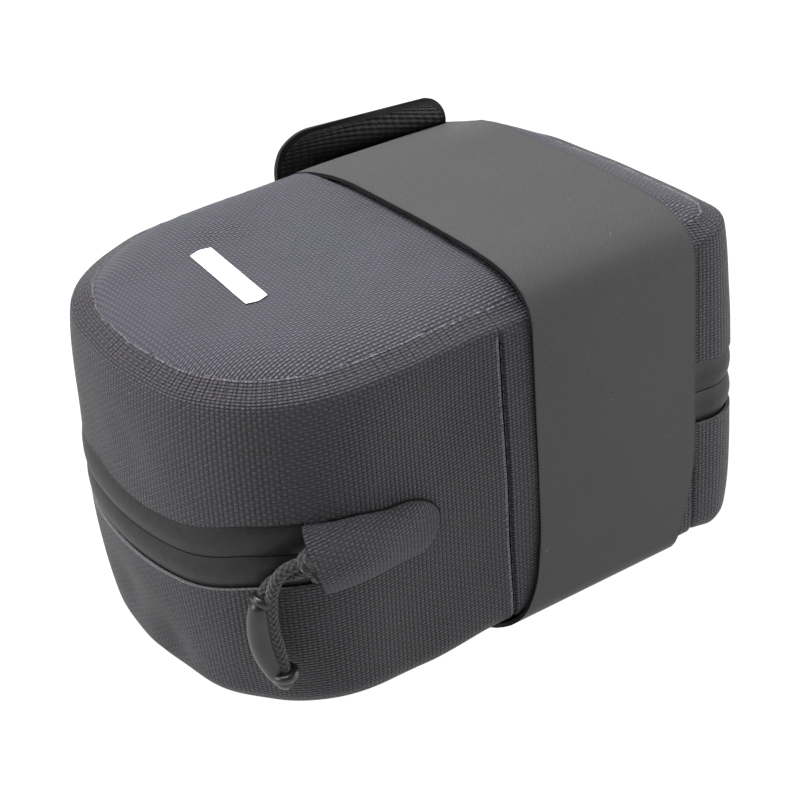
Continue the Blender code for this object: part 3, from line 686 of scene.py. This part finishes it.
s_left = near_s(LEFT_SEAM) - 0.0001
s_right = near_s(RIGHT_SEAM) + 0.0001
s_slot_end = near_s(-0.0505)
columns = np.linspace(s_right, ROUND + s_left - 0.0010, 297)
columns = np.concatenate([columns, ROUND + s_left - np.array((0.0006, 0.0003, 0.0))])
base_turn = [(-0.0085, 0.0021), (-0.0060, 0.0020), (-0.0040, 0.0020), (-0.0024, 0.0022)]
base_turn += [(-0.0012, 0.0029), (-0.00045, 0.0040), (-0.0001, 0.0053)]
lap = [(0.0, 0.0856), (-0.00015, 0.0864), (-0.0006, 0.0869), (-0.0013, 0.0873)]
lap += [(-0.0026, 0.0880), (-0.0041, 0.0888), (-0.0056, 0.0897)]


def wall_grid(s, lower=24, slot=8, upper=20):
    """Grid up the wall at these distances round the bag, from the base turn to the lap's edge."""
    point, normal = stations(s)
    middle = band_middle(point)
    rows = []
    for offset, z in base_turn:
        rows.append((np.full(len(s), offset), np.full(len(s), z)))
    for i in range(1, lower + 1):
        rows.append((np.zeros(len(s)), 0.0053 + (middle - BAND_HALF - 0.0053) * i / lower))
    for i in range(1, slot + 1):
        rows.append((np.zeros(len(s)), middle - BAND_HALF + 2 * BAND_HALF * i / slot))
    for i in range(1, upper):
        rows.append((np.zeros(len(s)), middle + BAND_HALF + (0.0854 - middle - BAND_HALF) * i / upper))
    for offset, z in lap:
        rows.append((np.full(len(s), offset), np.full(len(s), z)))
    offset = np.array([r[0] for r in rows])
    z = np.array([r[1] for r in rows])
    out = offset + fullness(point[None], normal[None], z)
    places = np.stack([point[:, 0] + out * normal[:, 0], point[:, 1] + out * normal[:, 1], z], axis=-1)
    outward = np.zeros(places.shape)
    outward[..., :2] = normal
    slot_low = len(base_turn) + lower - 1
    return places, outward, slot_low, slot_low + slot


def length_up(places):
    steps = np.linalg.norm(np.diff(places, axis=0), axis=-1)
    return np.concatenate([np.zeros((1, places.shape[1])), np.cumsum(steps, axis=0)])


def flat_uv(places, along):
    """The cloth's own flat measure at each point: the distance along it, and the length up it."""
    height = length_up(places)
    return np.stack([np.broadcast_to(along, height.shape), height], axis=-1)


places, outward, slot_low, slot_high = wall_grid(columns)
places = rippled(places, outward)
# Where the lap's painted crease shade and painted light go: the lap's rows, which face up.
lap_light_crease_shade_row = np.zeros(places.shape[:2])
lap_light_crease_shade_row[-4:] = np.array((0.8, 1.0, 1.0, 0.8))[:, None]
wave_s = 0.00022 * np.sin(columns * 900) + 0.0002 * np.sin(columns * 331 + 1)
places[-1, :, :2] += outward[-1, :, :2] * wave_s[:, None]
# The two upright edges tuck into the seams.
for edge in (0, 1, -2, -1):
    tuck = 0.0008 if edge in (0, -1) else 0.0001
    places[: -len(lap), edge] -= outward[: -len(lap), edge] * tuck
uv = flat_uv(places, columns)
keep = np.ones((places.shape[0] - 1, places.shape[1] - 1), bool)
middle_s = (columns[:-1] + columns[1:]) / 2
keep[slot_low:slot_high, :] = (middle_s > ROUND + s_slot_end)[None, :]
keep[slot_high - 1] = middle_s > ROUND + near_s(-0.0546)
edge_value = np.zeros(places.shape[:2])
edge_value[-1] = 1.0
edge_value[slot_low] = np.where(columns < ROUND + s_slot_end, 0.5, 0)
edge_value[slot_high] = np.where(columns < ROUND + s_slot_end, 0.5, 0)
edge_value[:, 0] = 0.7
edge_value[: -len(lap), -4:-1] = 0.92
SHIFT3 = np.array((0, SIDE_SHIFT, 0))
gusset = cloth_piece(
    "gusset",
    places + SHIFT3,
    uv,
    [gusset_cloth, inner_cloth, cut_edge],
    keep=keep,
    values={"edge": edge_value, "lap_light_crease_shade": lap_light_crease_shade_row},
)
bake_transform(gusset)
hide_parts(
    "lower_gusset",
    "upper_gusset",
    "upper_gusset_over_garage",
    "upper_gusset_front",
    "gusset_front_patch",
)


# ------------------------------------------------------------------ hinge panel
# A plain panel of the same cloth between the two upright seams. It has no zip, so it is the fold
# that the lid opens on. Its edges are turned under at the seams.

columns = np.linspace(s_left + 0.0003, s_right - 0.0003, 90)
places, outward, _, _ = wall_grid(columns)
places[: -len(lap)] += outward[: -len(lap)] * 0.00035
places = rippled(places, outward, 0.6)
for edge in (0, -1):
    places[: -len(lap), edge] -= outward[: -len(lap), edge] * 0.0009
uv = flat_uv(places, columns)
edge_value = np.zeros(places.shape[:2])
edge_value[-1] = 1.0
edge_value[:, 0] = 0.9
edge_value[:, -1] = 0.9
# Weaker painted crease shade and painted light on the hinge panel's lap.
lap_light_crease_shade_row = np.zeros(places.shape[:2])
lap_light_crease_shade_row[-4:] = 0.3
hinge_panel = cloth_piece(
    "hinge_panel",
    places + SHIFT3,
    uv,
    [gusset_cloth, inner_cloth, cut_edge],
    values={"edge": edge_value, "lap_light_crease_shade": lap_light_crease_shade_row},
)
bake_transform(hinge_panel)
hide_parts("hinge_panel_lower", "hinge_panel_upper")

# A near-black sheet behind each upright seam, as painted shade: it shows as the dark line of
# shade in the gap between the two edges.
seam_shade_look, tree, shader = new_material("seam_gap_shade", (0.006, 0.006, 0.006), 0.9, 0.1)
add_bump(tree, shader, noise_node(tree, 1200.0), 0.00005)
for name, s_mid in (("seam_gap_shade_left", s_left), ("seam_gap_shade_right", s_right)):
    columns = np.linspace(s_mid - 0.004, s_mid + 0.004, 6)
    places, outward, _, _ = wall_grid(columns)
    places -= outward * 0.0022
    places = places[3:-5]
    uv = flat_uv(places, columns)
    seam_shade_sheet = cloth_piece(name, places + SHIFT3, uv, [seam_shade_look, seam_shade_look, seam_shade_look], thick=0.0005)
    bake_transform(seam_shade_sheet)


# ------------------------------------------------------------------ bottom panel
# Base cloth, laid flat inside the gusset's turned-in edge and welded to it. A sheet of stiff
# plastic lies on it inside, so that a heavy load doesn't make it belly out.


def filled_outline(name, inset, heights, looks, thick):
    """A closed sheet of the bag's plan, from rings that close towards the middle."""
    s = np.linspace(0, ROUND, 240, endpoint=False)
    point, normal = stations(s)
    rim = point - inset * normal
    shares = np.concatenate([np.linspace(1.0, 0.72, 22), np.linspace(0.66, 0.04, 12)])
    places = np.zeros((len(shares), len(s), 3))
    for i, share in enumerate(shares):
        places[i, :, :2] = rim * share
    gap = rim[None, None] - places[:, ::2, None, :2]
    near = np.sqrt((gap**2).sum(-1)).min(-1)
    inward = np.repeat(near, 2, axis=1)
    places[..., 2] = heights(inward, places)
    places = sagged(places)
    uv = np.zeros((len(shares), len(s) + 1, 2))
    uv[:, :-1] = places[..., :2]
    uv[:, -1] = places[:, 0, :2]
    plain = np.zeros(places.shape[:2])
    values = {"edge": plain, "lap_light_crease_shade": plain}
    obj = cloth_piece(name, places + SHIFT3, uv, looks, wrap=True, thick=0, values=values)
    bm = bmesh.new()
    bm.from_mesh(obj.data)
    bm.verts.ensure_lookup_table()
    last = [e for e in bm.edges if e.is_boundary and e.verts[0].co.xy.length < 0.01]
    uv_layer = bm.loops.layers.uv.active
    cap = bmesh.ops.contextual_create(bm, geom=last)["faces"]
    for face in cap:
        face.smooth = True
        for loop in face.loops:
            loop[uv_layer].uv = (loop.vert.co.x, loop.vert.co.y - SIDE_SHIFT)
    bmesh.ops.recalc_face_normals(bm, faces=bm.faces[:])
    up = sum(f.normal.z * f.calc_area() for f in bm.faces)
    if (up > 0) != (thick > 0):
        bmesh.ops.reverse_faces(bm, faces=bm.faces[:])
    bm.to_mesh(obj.data)
    bm.free()
    thickened(obj, abs(thick), even=False)
    return obj


base_cloth = woven_cloth("base_cloth", (0.0265, 0.0241, 0.0302), WEAVE, 0.00030, 0.60, edges=False)
bottom_panel = filled_outline(
    "bottom_panel_cloth",
    0.0030,
    lambda inward, places: 0.0031 - drooped(places),
    [base_cloth, inner_cloth, cut_edge],
    -0.0008,
)
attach(bottom_panel, "bag")
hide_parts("bottom_panel")


def coated(node_name, look):
    """A solid of the frame that keeps its shape here, in its own finish."""
    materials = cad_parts[node_name].data.materials
    materials.clear()
    materials.append(look)


plastic_sheet, tree, shader = new_material("stiffener_plastic", (0.02, 0.02, 0.02), 0.45, 0.4)
add_bump(tree, shader, noise_node(tree, 500.0), 0.00005)
coated("base_stiffener", plastic_sheet)


# ------------------------------------------------------------------ top panel
# The lid's panel: the same cloth over a foam sheet, so that it swells like a pillow inside the
# welded lap of the gusset. Its colour is about twice as light as the wall's, as painted light on
# its upward face.

LAP_Z = 0.0879
PILLOW_RISE = 0.0068
PILLOW_SHOULDER = 0.0064


def pillow(inward, places):
    """Height of the lid's panel: it rises fast from the lap, then lies almost flat."""
    rise = PILLOW_RISE * (1 - np.exp(-inward / PILLOW_SHOULDER)) * (1 + 0.06 * np.exp(-inward / 0.012))
    slow = cloth_noise(places, 0.033, 5.2)
    quick = cloth_noise(places, 0.012, 1.9)
    return LAP_Z + rise + 0.00028 * slow * ease(inward / 0.01) + 0.00007 * quick


TOP_WEAVE = 0.00108
# Painted light: the same cloth as the wall, coloured about twice as light because it faces up to the
# lamps.
lit_top_cloth = woven_cloth(
    "lit_top_cloth", (0.0541, 0.0537, 0.0695), TOP_WEAVE, 0.00045, 0.62, contrast=1.6, edges=False
)
top_panel = filled_outline("top_panel_cloth", 0.0042, pillow, [lit_top_cloth, inner_cloth, cut_edge], 0.0009)
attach(top_panel, "lid")
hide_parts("top_panel")
foam_look, tree, shader = new_material("lid_foam", (0.03, 0.03, 0.03), 0.9, 0.2)
add_bump(tree, shader, noise_node(tree, 2500.0), 0.0002)
lid_foam = filled_outline(
    "lid_foam_sheet",
    0.0110,
    lambda inward, places: pillow(inward + 0.0068, places) - 0.0014,
    [foam_look] * 3,
    0.0020,
)
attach(lid_foam, "lid")
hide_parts("lid_stiffener")

# A plain reflective bar printed on the lid near the nose.
print_colour = (0.82, 0.82, 0.83)
print_look, tree, shader = new_material("reflective_print", print_colour, 0.5, 0.4)
speckle = math_node(tree, "MULTIPLY_ADD", noise_node(tree, 700.0), 0.2, 0.9)
shade_colour(tree, shader, print_colour, speckle)
add_bump(tree, shader, noise_node(tree, 1800.0), 0.00004)
across = np.linspace(-0.0030, 0.0030, 9)
along = np.linspace(-0.0155, 0.0155, 40)
bar = np.zeros((40, 9, 3))
for i, v in enumerate(along):
    for k, u in enumerate(across):
        past = max(0, (abs(v) - 0.0145) / 0.0010)
        pinch = min(1.0, math.sqrt(max(0.02, 1 - past**2)))
        bar[i, k] = (-0.0400 + u * pinch + v * 0.10, 0.0025 + v, 0)
point_all, _ = stations(np.linspace(0, ROUND, 400))
gap = point_all[None, None] - bar[:, :, None, :2]
bar[..., 2] = pillow(np.sqrt((gap**2).sum(-1)).min(-1) - 0.0042, bar) + 0.00025
uv = bar[..., :2].copy()
bar = sagged(bar)
bar_print = cloth_piece("reflective_bar", bar + SHIFT3, uv, [print_look] * 3, thick=0.00015, flip=True)
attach(bar_print, "lid")


# ------------------------------------------------------------------ zip tapes and coils
# Water-repellent zip: two coated tapes whose rounded edges meet over the coil, which is on the
# inside. They are welded behind the edges of the gusset's slot.

tape_colour = (0.0120, 0.0115, 0.0122)
tape_look, tree, shader = new_material("zip_film", tape_colour, 0.52, 0.3)
mottle = math_node(tree, "MULTIPLY_ADD", noise_node(tree, 420.0, 4.0), 1.3, 0.35)
_, ribs_up = uv_waves(tree, 0.0006, 0.0006)
tone = math_node(tree, "MULTIPLY_ADD", ribs_up, 0.03, mottle)
shade_colour(tree, shader, tape_colour, tone)
add_bump(tree, shader, math_node(tree, "MULTIPLY_ADD", ribs_up, 0.05, mottle), 0.00012)

columns = np.linspace(s_right - 0.003, ROUND + near_s(-0.034), 280)
point, normal = stations(columns)
middle = band_middle(point)


TAPE_RISES = (0.00012, 0.0004, 0.0009, 0.0016, 0.0026, 0.0038, 0.0050, 0.0062, 0.0072, 0.0081)
TAPE_RISES += (0.0090, 0.0102)
TAPE_CROWN_AT = 0.0042
TAPE_CROWN_HALF = 0.0046


def band_grid(levels):
    """Rows at (height from the zip's middle, offset from the wall) levels along the zip."""
    rows = []
    for rise, offset in levels:
        z = middle + rise
        out = offset + fullness(point, normal, z)
        rows.append(
            np.stack([point[:, 0] + out * normal[:, 0], point[:, 1] + out * normal[:, 1], z], axis=-1)
        )
    return np.array(rows)


for name, sign, body, node_name in (
    ("upper_zip_band", 1, "lid", "upper_zip_tape"),
    ("lower_zip_band", -1, "bag", "lower_zip_tape"),
):
    levels = []
    for rise in TAPE_RISES:
        crown = 1 - ((rise - TAPE_CROWN_AT) / TAPE_CROWN_HALF) ** 2
        levels.append((sign * rise, -0.0013 + 0.0011 * max(-0.3, crown)))
    grid = band_grid(levels)
    uv = flat_uv(grid, columns)
    mouth = len(columns) - int(round((near_s(-0.0340) - near_s(-0.0545)) / (columns[1] - columns[0])))
    cut = mouth if sign > 0 else len(columns)
    band = cloth_piece(
        name, grid[:, :cut] + SHIFT3, uv[:, :cut], [tape_look] * 3, thick=0.0007, flip=sign < 0
    )
    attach(band, body)
    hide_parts(node_name)
    if sign > 0:
        band_end = cloth_piece(
            "upper_zip_band_end", grid[:, cut:] + SHIFT3, uv[:, cut:], [tape_look] * 3, thick=0.0007
        )
        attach(band_end, "bag")
        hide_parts("upper_zip_tape_end")

TEETH_SHORT = 62
coil_colour = (0.015, 0.015, 0.016)
coil_look, tree, shader = new_material("coil_nylon", coil_colour, 0.35, 0.5)
turns_u, _ = uv_waves(tree, 0.0009, 0.0009)
add_bump(tree, shader, turns_u, 0.0003)
shade_colour(tree, shader, coil_colour, math_node(tree, "MULTIPLY_ADD", turns_u, 0.3, 0.9))
for name, sign, body, node_name in (
    ("upper_zip_teeth", 1, "lid", "upper_zip_coil"),
    ("lower_zip_teeth", -1, "bag", "lower_zip_coil"),
):
    levels = []
    for k in range(9):
        turn = math.pi * k / 8
        levels.append((sign * (0.0009 - 0.0007 * math.cos(turn)), -0.0021 - 0.0014 * math.sin(turn)))
    grid = band_grid(levels)
    uv = flat_uv(grid, columns)
    cut = len(columns) - TEETH_SHORT if sign > 0 else len(columns)
    teeth = cloth_piece(
        name, grid[:, :cut] + SHIFT3, uv[:, :cut], [coil_look] * 3, thick=0.0003, flip=sign > 0
    )
    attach(teeth, body)
    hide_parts(node_name)
for node_name in ("zip_stop_front", "zip_stop_rear"):
    coated(node_name, coil_look)


# ------------------------------------------------------------------ slider and pull tab
# Black enamelled zip slider, parked in the garage: a wedge-shaped plate, the arch that carries the
# tab, and the flat tab whose eye the cord is hitched to.

enamel_colour = (0.02, 0.02, 0.021)
enamel, tree, shader = new_material("black_enamel", enamel_colour, 0.35, 0.5)
shader.inputs["Metallic"].default_value = 0.6
chips = math_node(tree, "MULTIPLY_ADD", noise_node(tree, 900.0, 3.0), 0.8, 0.6)
shade_colour(tree, shader, enamel_colour, chips)
add_bump(tree, shader, noise_node(tree, 1500.0), 0.00003)
for node_name in ("slider_body", "slider_bridge", "pull_tab"):
    coated(node_name, enamel)


# ------------------------------------------------------------------ zip garage
# A strip of the same cloth welded over the closed end of the zip. It arches like a tunnel, open
# towards the nose, and closes flat in a round end. Its inside and its cut edge are near-black as
# painted shade, and a near-black sheet a little larger than it, under its edges, is a painted
# shadow line round it.

GARAGE_MOUTH = -0.0533
GARAGE_END = -0.0216
GARAGE_HALF = 0.0097
s_mouth = near_s(GARAGE_MOUTH)
s_end = near_s(GARAGE_END)
# Near-black painted shade for the tunnel's inside and the hood's cut edge, and painted shadow under the
# hood's edges.
garage_shade_black, tree, shader = new_material("garage_painted_shade", (0.008, 0.008, 0.008), 0.8, 0.2)
add_bump(tree, shader, noise_node(tree, 900.0), 0.00005)
garage_cloth = woven_cloth("garage_cloth", (0.0379, 0.0347, 0.0436), WEAVE, 0.00065, 0.55, contrast=1.8)
ACROSS = 33
along_share = np.sin(np.linspace(0, math.pi / 2, 44))


def garage_sheet(half, end, arched, proud):
    """The garage's outline as a sheet: half its height, its end, and how it stands off the wall."""
    rows = []
    for k in range(ACROSS):
        turn = math.pi * k / (ACROSS - 1)
        lean = -0.0019 * math.cos(turn)
        row = []
        for share in along_share:
            s = s_mouth - lean * (1 - share) + (end - s_mouth + lean * (1 - share)) * share
            near_end = max(0.0, 1 - (end - s) / 0.0105)
            if turn < math.pi / 2:
                narrowed = 0.93 - 0.12 * math.sin(math.pi * share)
            else:
                narrowed = 1 - 0.12 * share - 0.14 * ease((share - 0.3) / 0.3)
            tall = half * math.sqrt(max(0.0004, 1 - near_end**2)) * narrowed
            point, normal = stations([s])
            z = 0.0446 + 0.0018 * (1 - share) - tall * math.cos(turn)
            arch = 0.0058 * (1 - share) ** 1.2 + 0.0016 * (1 - near_end**3)
            sharp = math.sin(turn) ** (0.62 + 0.3 * (1 - share))
            out = proud + fullness(point, normal, np.array([z]))[0] + arched * arch * sharp
            row.append((point[0, 0] + out * normal[0, 0], point[0, 1] + out * normal[0, 1], z))
        rows.append(row)
    sheet = np.array(rows)
    outward = np.zeros_like(sheet)
    outward[..., 1] = -1
    return rippled(sheet, outward, 0.7)


garage = garage_sheet(GARAGE_HALF, s_end, 1.0, 0.0009)
run = np.linalg.norm(np.diff(garage[ACROSS // 2], axis=0), axis=-1)
run = np.concatenate([[0], np.cumsum(run)])
uv = flat_uv(garage, run)
edge_value = np.zeros(garage.shape[:2])
edge_value[:, 0] = 0.6
garage_hood = cloth_piece(
    "zip_garage_hood",
    garage + SHIFT3,
    uv,
    [garage_cloth, garage_shade_black, garage_shade_black],
    values={"edge": edge_value},
    thick=0.0010,
)
# Painted shadow: a near-black sheet just larger than the hood, under its edges, draws the dark shadow line
# round it.
garage_shadow_sheet = cloth_piece(
    "zip_garage_painted_shadow",
    garage_sheet(GARAGE_HALF + 0.0003, s_end + 0.0005, 0.0, 0.0005)[:, 4:] + SHIFT3,
    uv[:, 4:],
    [garage_shade_black] * 3,
    thick=0.0003,
)
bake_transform(garage_shadow_sheet)
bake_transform(garage_hood)
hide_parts("zip_garage")


# ------------------------------------------------------------------ strap
# A 50 mm strap of smooth coated webbing with a black backing that shows at its edges. It runs
# under the base, up the near side, over the lid and down the far side to its loop patch.

STRAP_LEFT = 0.0076
STRAP_RIGHT = 0.0573
STRAP = 0.0013
STRAP_ACROSS = 61


def strap_cloth(name, colour):
    material, tree, shader = new_material(name, colour, 0.58, 0.2)
    across, along = uv_waves(tree, 0.00050, 0.00050)
    cells = math_node(tree, "MULTIPLY_ADD", math_node(tree, "MULTIPLY", across, along), 0.5, 0.5)
    grain = noise_node(tree, 2200.0, 2.0)
    patches = noise_node(tree, 38.0, 3.0)
    tone = math_node(tree, "MULTIPLY_ADD", cells, 0.24, 0.86)
    tone = math_node(tree, "ADD", tone, math_node(tree, "MULTIPLY_ADD", grain, 0.50, -0.25))
    tone = math_node(tree, "ADD", tone, math_node(tree, "MULTIPLY_ADD", patches, 0.20, -0.10))
    lint = math_node(tree, "GREATER_THAN", noise_node(tree, 1500.0, 0.0), 0.868)
    tone = math_node(tree, "MULTIPLY_ADD", lint, 1.6, tone)
    tone = math_node(tree, "MULTIPLY_ADD", attribute_node(tree, "edge"), -0.25, tone)
    shade_colour(tree, shader, colour, tone)
    add_bump(tree, shader, math_node(tree, "MULTIPLY_ADD", grain, 0.8, cells), 0.00006)
    shader.inputs["Sheen Weight"].default_value = 0.1
    return material


strap_face = strap_cloth("strap_face", (0.0440, 0.0432, 0.0446))
backing, tree, shader = new_material("strap_backing", (0.009, 0.009, 0.010), 0.7, 0.25)
add_bump(tree, shader, noise_node(tree, 1400.0), 0.0001)


def half_width(x):
    return END_HALF_WIDTH - TAPER * (HALF_LENGTH - x)


def strap_sheet(knots, count):
    """The strap's grid, UV map and edge values along knots of (y at its middle, z, flare)."""
    line, _ = smooth_route([Vector(knot) for knot in knots], count)
    share = np.linspace(0, 1, STRAP_ACROSS)
    middle_half = half_width((STRAP_LEFT + STRAP_RIGHT) / 2)
    grid = np.zeros((count, STRAP_ACROSS, 3))
    for i, (y, z, flare) in enumerate(line):
        low = max(0.0, (0.034 - z) / 0.034) if y < 0 else 0.0
        right = STRAP_RIGHT - 0.0085 * low**2.0
        x = STRAP_LEFT - flare + (right - STRAP_LEFT + flare) * share
        grid[i, :, 0] = x
        grid[i, :, 1] = y * (1 + (half_width(x) - middle_half) / middle_half)
        grid[i, :, 2] = z
    uv = flat_uv(grid, grid[..., 0])
    edge = np.zeros(grid.shape[:2])
    edge[:, 0] = edge[:, -1] = 1.0
    return grid, uv, edge


MID_HALF = half_width((STRAP_LEFT + STRAP_RIGHT) / 2)
near_y = -(MID_HALF + 0.0016)
lower_knots = [
    (MID_HALF - 0.004, 0.0001, 0.0),
    (0.030, 0.0001, 0.0),
    (0.0, 0.0001, 0.006),
    (-0.030, 0.0001, 0.015),
    (-MID_HALF + 0.0060, 0.0001, 0.0140),
    (-MID_HALF + 0.0012, 0.0006, 0.0105),
    (near_y + 0.0002, 0.0030, 0.0072),
    (near_y - 0.0002, 0.0080, 0.0036),
    (near_y - 0.0001, 0.0200, 0.0008),
    (near_y, 0.0400, 0.0),
    (near_y, 0.0600, 0.0),
    (near_y, 0.0780, 0.0),
    (near_y, 0.0835, 0.0),
]
grid, uv, edge = strap_sheet(lower_knots, 96)
strap_near = cloth_piece(
    "strap_near",
    grid + SHIFT3,
    uv,
    [strap_face, backing, backing],
    values={"edge": edge},
    thick=STRAP,
)
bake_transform(strap_near)
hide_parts("strap_base", "strap_near_upper")

# The strap's turn over each edge of the lid: (distance in from the side, height).
STRAP_TURN = ((0.0004, 0.0870), (0.0022, 0.0907), (0.0058, 0.0938), (0.0110, 0.0958), (0.0190, 0.0969))
over_knots = [(near_y, 0.0835, 0.0)]
over_knots += [(near_y + inward, z, 0.0) for inward, z in STRAP_TURN]
over_knots += [(-0.0200, 0.0974, 0.0), (0.0, 0.0975, 0.0), (0.0200, 0.0974, 0.0)]
over_knots += [(-near_y - inward, z, 0.0) for inward, z in reversed(STRAP_TURN)]
over_knots += [(-near_y + 0.0002, z, 0.0) for z in (0.0800, 0.0660, 0.0520)]
grid, uv, edge = strap_sheet(over_knots, 150)
uv[..., 1] += 0.16
grid[..., 2] -= strap_pull(grid) * ease((grid[..., 2] - 0.060) / 0.030)
grid[..., 2] += 0.0005 * cloth_noise(grid, 0.024, 6.3) * ease((grid[..., 2] - 0.090) / 0.005)
strap_over = cloth_piece(
    "strap_over",
    grid + SHIFT3,
    uv,
    [strap_face, backing, backing],
    values={"edge": edge},
    thick=STRAP,
)
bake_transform(strap_over)
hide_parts("strap_arm")


# ------------------------------------------------------------------ strap tab with its hooks
# The strap's free end on the far side: it comes up from the base outside the arm, its hooks facing
# in, and its rounded tip stands clear above the lid's edge and leans in over it at one corner.

TAB_TIP = 0.0975
TAB_OFFSET = 0.0054
TAB_LEFT_CORNER = 0.0115
TAB_RIGHT_CORNER = 0.0045
hook_colour = (0.010, 0.010, 0.011)
hook_look, tree, shader = new_material("hook_pile", hook_colour, 0.6, 0.35)
hook_u, hook_v = uv_waves(tree, 0.0011, 0.0007)
hooks = math_node(tree, "MULTIPLY_ADD", hook_u, 0.3, math_node(tree, "MULTIPLY_ADD", hook_v, 0.2, 0.5))
lint = math_node(tree, "GREATER_THAN", noise_node(tree, 1300.0, 1.0), 0.70)
tone = math_node(tree, "MULTIPLY_ADD", hooks, 1.3, 0.4)
tone = math_node(tree, "MULTIPLY_ADD", lint, 4.0, tone)
shade_colour(tree, shader, hook_colour, tone)
add_bump(tree, shader, hooks, 0.0004)


def corner_cut(radius, down):
    """How much a round corner takes off the side, this far down from the tip."""
    return radius - math.sqrt(max(0, radius**2 - max(0, radius - down) ** 2))


def tab_grid(inset, offset, z_low, rows=60, cols=45):
    """The tab's sheet: corners rounded at the tip, leaning in towards the flat end."""
    z = z_low + (TAB_TIP - inset - z_low) * np.sin(np.linspace(0, math.pi / 2, rows))
    share = np.linspace(0, 1, cols)
    grid = np.zeros((rows, cols, 3))
    for i, level in enumerate(z):
        down = max(0.0, TAB_TIP - inset - level)
        left_cut = corner_cut(TAB_LEFT_CORNER, down)
        right_cut = corner_cut(TAB_RIGHT_CORNER, down)
        x_low = STRAP_LEFT + inset + left_cut
        x_high = STRAP_RIGHT - 0.0008 - inset - right_cut
        x = x_low + (x_high - x_low) * share
        over = -0.0140 * ease((level - 0.0815) / 0.0100) + 0.0028 * ease((level - 0.0915) / 0.0065)
        lean = np.clip((x - 0.010) / 0.047, 0, 1) * over
        low = np.clip((0.006 - level) / 0.006, 0, 1)
        grid[i, :, 0] = x
        grid[i, :, 1] = half_width(x) + offset + lean - 0.0022 * low**2
        grid[i, :, 2] = level
    return grid


grid = tab_grid(0.0, TAB_OFFSET, 0.0006)
uv = flat_uv(grid, grid[..., 0])
edge = np.zeros(grid.shape[:2])
edge[:, 0] = edge[:, -1] = edge[-1] = 1.0
tab = cloth_piece(
    "strap_tab_cloth",
    grid + SHIFT3,
    uv,
    [strap_face, backing, backing],
    values={"edge": edge},
    thick=0.0014,
    flip=True,
)
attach(tab, "strap_tab")
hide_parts("strap_tab")
grid = tab_grid(0.0011, TAB_OFFSET - 0.0015, 0.0530)
uv = flat_uv(grid, grid[..., 0])
hook_pad = cloth_piece("hook_pad", grid + SHIFT3, uv, [hook_look] * 3, thick=0.0008)
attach(hook_pad, "strap_tab")
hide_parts("hook_patch")
loop_look, tree, shader = new_material("loop_pile", (0.012, 0.012, 0.013), 0.95, 0.1)
add_bump(tree, shader, noise_node(tree, 2400.0, 3.0), 0.0004)
shader.inputs["Sheen Weight"].default_value = 0.4
coated("loop_patch", loop_look)
